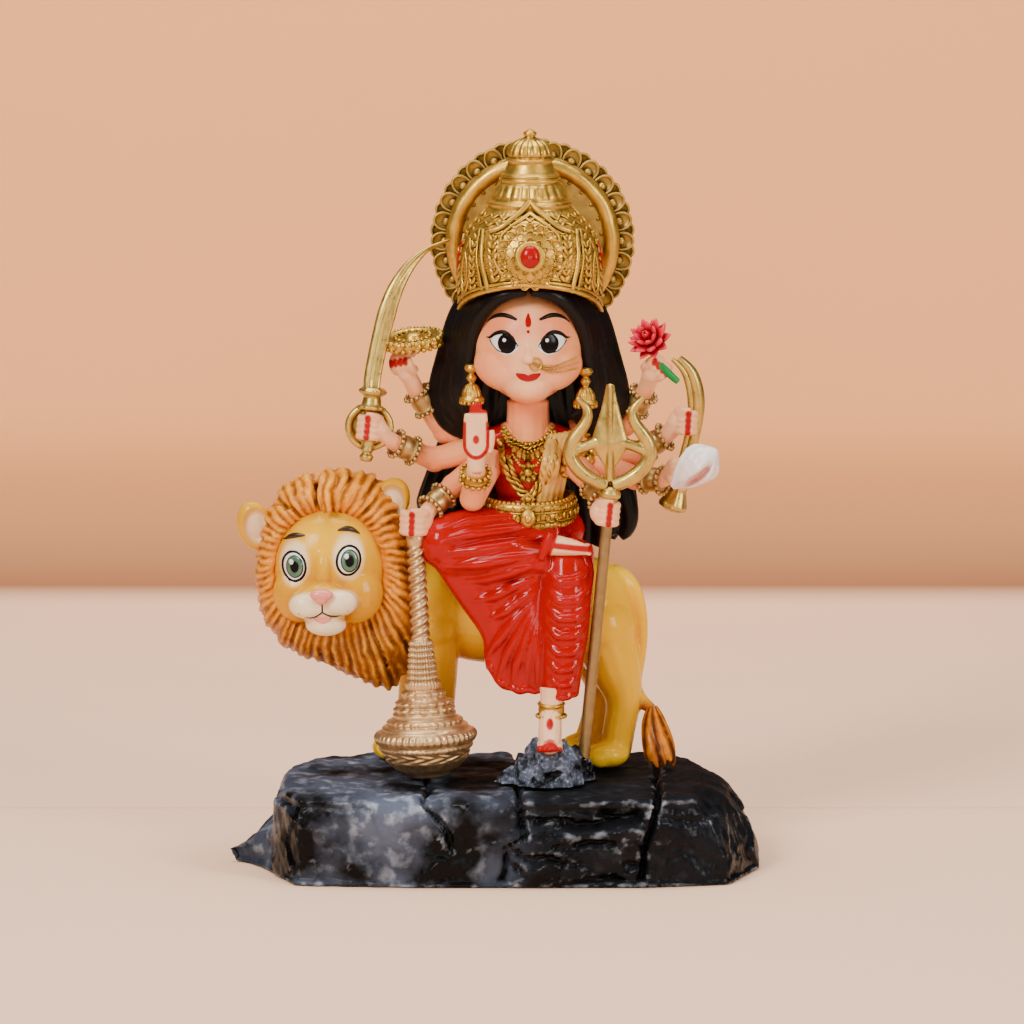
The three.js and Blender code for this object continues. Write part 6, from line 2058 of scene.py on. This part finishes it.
web = rolls([trail(neck, (-7.8, 0, 9.6, 1.3), (-3.4, 0, 11.4, 1.2), (0, 0, 11.6, 1.2),
            (3.4, 0, 11.4, 1.2), (7.8, 0, 9.6, 1.3))], 4)
ridge = rolls([trail(neck, (0, -0.9, 3, 0.7), (0, -1.35, 12, 0.7), (0, -0.5, 24, 0.5))], 3)
head_piece = fuse("trident_head_cast", [prong_piece, leaf_piece, web, ridge], 0.24, 2)
finish(join("trident_prongs", [head_piece, knob]), trident_gold, "antique_gold", "trident_head")
staff_gold = antique("staff_gold", (0.34, 0.22, 0.09), (0.10, 0.06, 0.03), 0.36, coarse=700)
shaft.name = "trident_staff"
finish(shaft, staff_gold, "antique_gold", "trident_shaft")

# %% [markdown]
# The conch is turned and gets ribs that wind round it. Its mouth is a long hollow with a raised rim,
# brushed pink.

# %% Conch
conch_at = at("conch", 0.5, 0.5, 0.5)


def whorl(angle, height, radius):
    """Ribs that wind round the shell, stronger where it is wide."""
    return 0.30 * np.sin(8 * angle + 0.7 * height) * band(height, -4.5, 4.6, 1.4)


shell = turn("conch_shell", [
        (0, -6.4), (0.8, -6.2), (1.5, -4.8), (2.7, -2.8), (3.8, -0.4), (4.3, 1.8), (4.0, 3.6),
        (3.1, 4.9), (2.2, 5.6), (1.3, 6.3), (0.6, 6.7), (0, 6.9),
    ], 72, 0.25, whorl)
spots = points_of(shell)
mouth = egg_mask(spots, (1.5 * MM, -3.6 * MM, -0.4 * MM), (0.9, 3.2, 4.4), 0.6)
rim = egg_mask(spots, (0.2 * MM, -3.6 * MM, -0.2 * MM), (0.9, 3.0, 4.8), 0.8)
spots[:, 1] += (1.5 * mouth - 0.5 * rim) * MM
move_points(shell, spots)
tall = spots[:, 2] / MM
modify(shell, "SMOOTH", factor=0.5, iterations=2)
brush(shell, (0.90, 0.78, 0.74), [((0.84, 0.38, 0.34), 0.7 * mouth),
        ((0.88, 0.58, 0.54), 0.5 * smoothstep(-3, -6, tall))])
shell.data.transform(Matrix.Translation(conch_at) @ Euler((0.15, 0.85, 0)).to_matrix().to_4x4())
shell_paint = enamel("shell_paint", (1, 1, 1), (0.8, 0.55, 0.5), 0.22, 0.4, attribute=True)
finish(shell, shell_paint, "shell_white", "conch")

# %% [markdown]
# Only the middle and lower horn of the bow are seen: a curved roll with a thinner one beside it, and
# a ribbed flare at the lower end.

# %% Bow
fist = ARMS["bow"]["fist"]
bow_line = [(-1.6, -0.4, 14.0, 0.9), (0.8, -0.2, 12.0, 1.3), (2.2, 0.0, 8.0, 1.6), (2.7, 0.0, 4.0, 1.6),
    (2.4, 0, 0, 1.4), (1.4, 0, -5.0, 1.3), (0.0, 0, -10.0, 1.4), (-1.6, 0, -14.2, 1.7)]
bow_parts = [rolls([[(shift(fist, x, y, z), r) for x, y, z, r in bow_line],
            [(shift(fist, x - 1.5, y - 0.6, z), r * 0.5) for x, y, z, r in bow_line]], 4)]
flare = turn("bow_flare", [(0, -2.6), (1.8, -2.6), (2.9, -2.0), (3.1, -1.2), (2.6, 0), (1.8, 2.0),
        (1.5, 4.0), (0, 4.2)], 32, 0.35, lambda angle, height, radius: 0.16 * np.cos(8 * angle))
bow_parts.append(stand(flare, shift(fist, -2.4, 0, -17.4), Vector((0.35, 0, 1)).normalized()))
bow = join("bow_cast", bow_parts)
finish(bow, trident_gold, "antique_gold", "bow")

# %% [markdown]
# The lotus is four rings of one pointed petal, each ring more open than the last, on a leaning axis.
# It is darker in the middle and pink at the tips. A green stalk carries it, with a painted highlight
# along its top as a pale stripe.

# %% Lotus
lotus_at = at("lotus_flower", 0.5, 0.5, 0.5)
petal = lump((0, 0, 0), (1.25, 0.5, 2.2), detail=14)
spots = points_of(petal)
high = (spots[:, 2] / MM + 2.1) / 4.2
spots[:, 0] *= 1 - 0.70 * high ** 3
spots[:, 2] += 2.0 * MM
spots[:, 1] -= (1.2 * high ** 2) * 0.6 * MM
move_points(petal, spots)
places = []
facing = Vector((-0.40, -0.72, 0.56)).normalized()
lean = Vector((0, 0, 1)).rotation_difference(facing).to_matrix().to_4x4()
for count, tilt, size in ((5, 0.26, 0.95), (7, 0.66, 1.12), (8, 1.08, 1.2), (9, 1.50, 1.12)):
    for i in range(count):
        spin = Matrix.Rotation(2 * math.pi * (i + 0.5 * (count % 2)) / count, 4, "Z")
        places.append(Matrix.Translation(lotus_at) @ lean @ spin @ Matrix.Rotation(-tilt, 4, "X")
            @ Matrix.Translation((0, 0, 0.5 * MM)) @ Matrix.Scale(size, 4))
flower = repeat("lotus_petals", petal, places)
bpy.data.objects.remove(petal)
flower = join("lotus_petals", [flower, lump(lotus_at, (1.6, 1.6, 1.6))])
spots = points_of(flower)
reach = np.linalg.norm(spots - np.array(lotus_at), axis=1) / MM
lotus_red = enamel("lotus_red", (1, 1, 1), (0.50, 0.08, 0.12), 0.30, 0.2, attribute=True, shine=0.14)
brush(flower, (0.60, 0.0, 0.018), [((0.86, 0.04, 0.10), 0.85 * smoothstep(2.4, 5.0, reach))])
finish(flower, lotus_red, "lotus_petal", "lotus_flower")
stem_low, stem_high = at("lotus_stem", 1.0, 0.5, 0.0, (-0.8, 0, 0.8)), at("lotus_stem", 0.0, 0.5, 1.0,
    (0.8, 0, -0.8))
stem = rolls([[(stem_high, 0.95), (stem_high.lerp(stem_low, 0.5), 0.95), (stem_low, 0.7)]], 4)
stem.name = "lotus_stalk"
modify(stem, "REMESH", mode="VOXEL", voxel_size=0.2 * MM, use_smooth_shade=True)
# painted highlight: a pale stripe where the stalk faces up
brush(stem, (0.01, 0.24, 0.05), [((0.72, 0.82, 0.70), 0.8 * smoothstep(0.72, 0.9, normals_of(stem)[:, 2]))])
finish(stem, casting_paint, "stem_green", "lotus_stem")

# %% [markdown]
# The earrings are bells: a turned profile with two rings of ribs, and a row of beads on the lip.

# %% Earrings
bell_profile = [(0, -4.2), (2.2, -4.2), (2.7, -3.8), (2.6, -3.2), (2.1, -2.8), (1.9, -1.6), (1.2, -0.4),
    (0.6, 0.1), (0.9, 0.6), (1.2, 1.2), (0.9, 1.8), (0.6, 2.2), (1.3, 2.7), (1.7, 3.4), (1.3, 4.1),
    (0, 4.3)]
for node in ("right_earring", "left_earring"):
    middle = at(node, 0.5, 0.5, 0.5)
    bell = turn(f"{node}_bell", bell_profile, 48, 0.25, lambda angle, height,
        radius: 0.13 * np.cos(12 * angle) * band(height, -2.8, -0.2) + 0.10 * np.cos(20 * angle)
        * band(height, -4.2, -3.0))
    bell = join(f"{node}_bell", [bell, bead_rings("bell_beads", [(2.3, -4.2, 0.5, 14)])])
    stand(bell, middle)
    finish(bell, crown_gold, "antique_gold", node)

# %% [markdown]
# A ring hangs in one side of the nose, and three fine chains run from it across the cheek to the ear,
# each with a little more sag than the one above.

# %% Nose ring
cheek = [(1.0, -2.4), (2.6, -3.2), (5.4, -3.6), (8.2, -2.8), (10.6, -2.0)]
chains = []
for sag in (0.0, 1.5, 3.0):
    knots = []
    for i, (x, z) in enumerate(cheek):
        spot, out = cast(face, head.x + x * MM, head.z + (z - sag * (0.15 + 0.85 * i / 4) * 0.8) * MM)
        knots.append(spot + out * 0.35 * MM)
    chains.append(bead_row("nose_chain", knots, 0.22, 0.42))
ring_spot, _ = cast(face, head.x + 1.6 * MM, head.z - 2.8 * MM)
fresh()
bpy.ops.mesh.primitive_torus_add(location=ring_spot + Vector((0, -0.4 * MM, -0.3 * MM)),
    rotation=(math.pi / 2, 0, 0.3), major_radius=1.4 * MM, minor_radius=0.22 * MM, major_segments=32,
    minor_segments=10)
bpy.ops.object.transform_apply(location=True, rotation=True, scale=True)
nose_ring = join("nose_ring_and_chains", [bpy.context.object] + chains)
finish(nose_ring, crown_gold, "antique_gold")
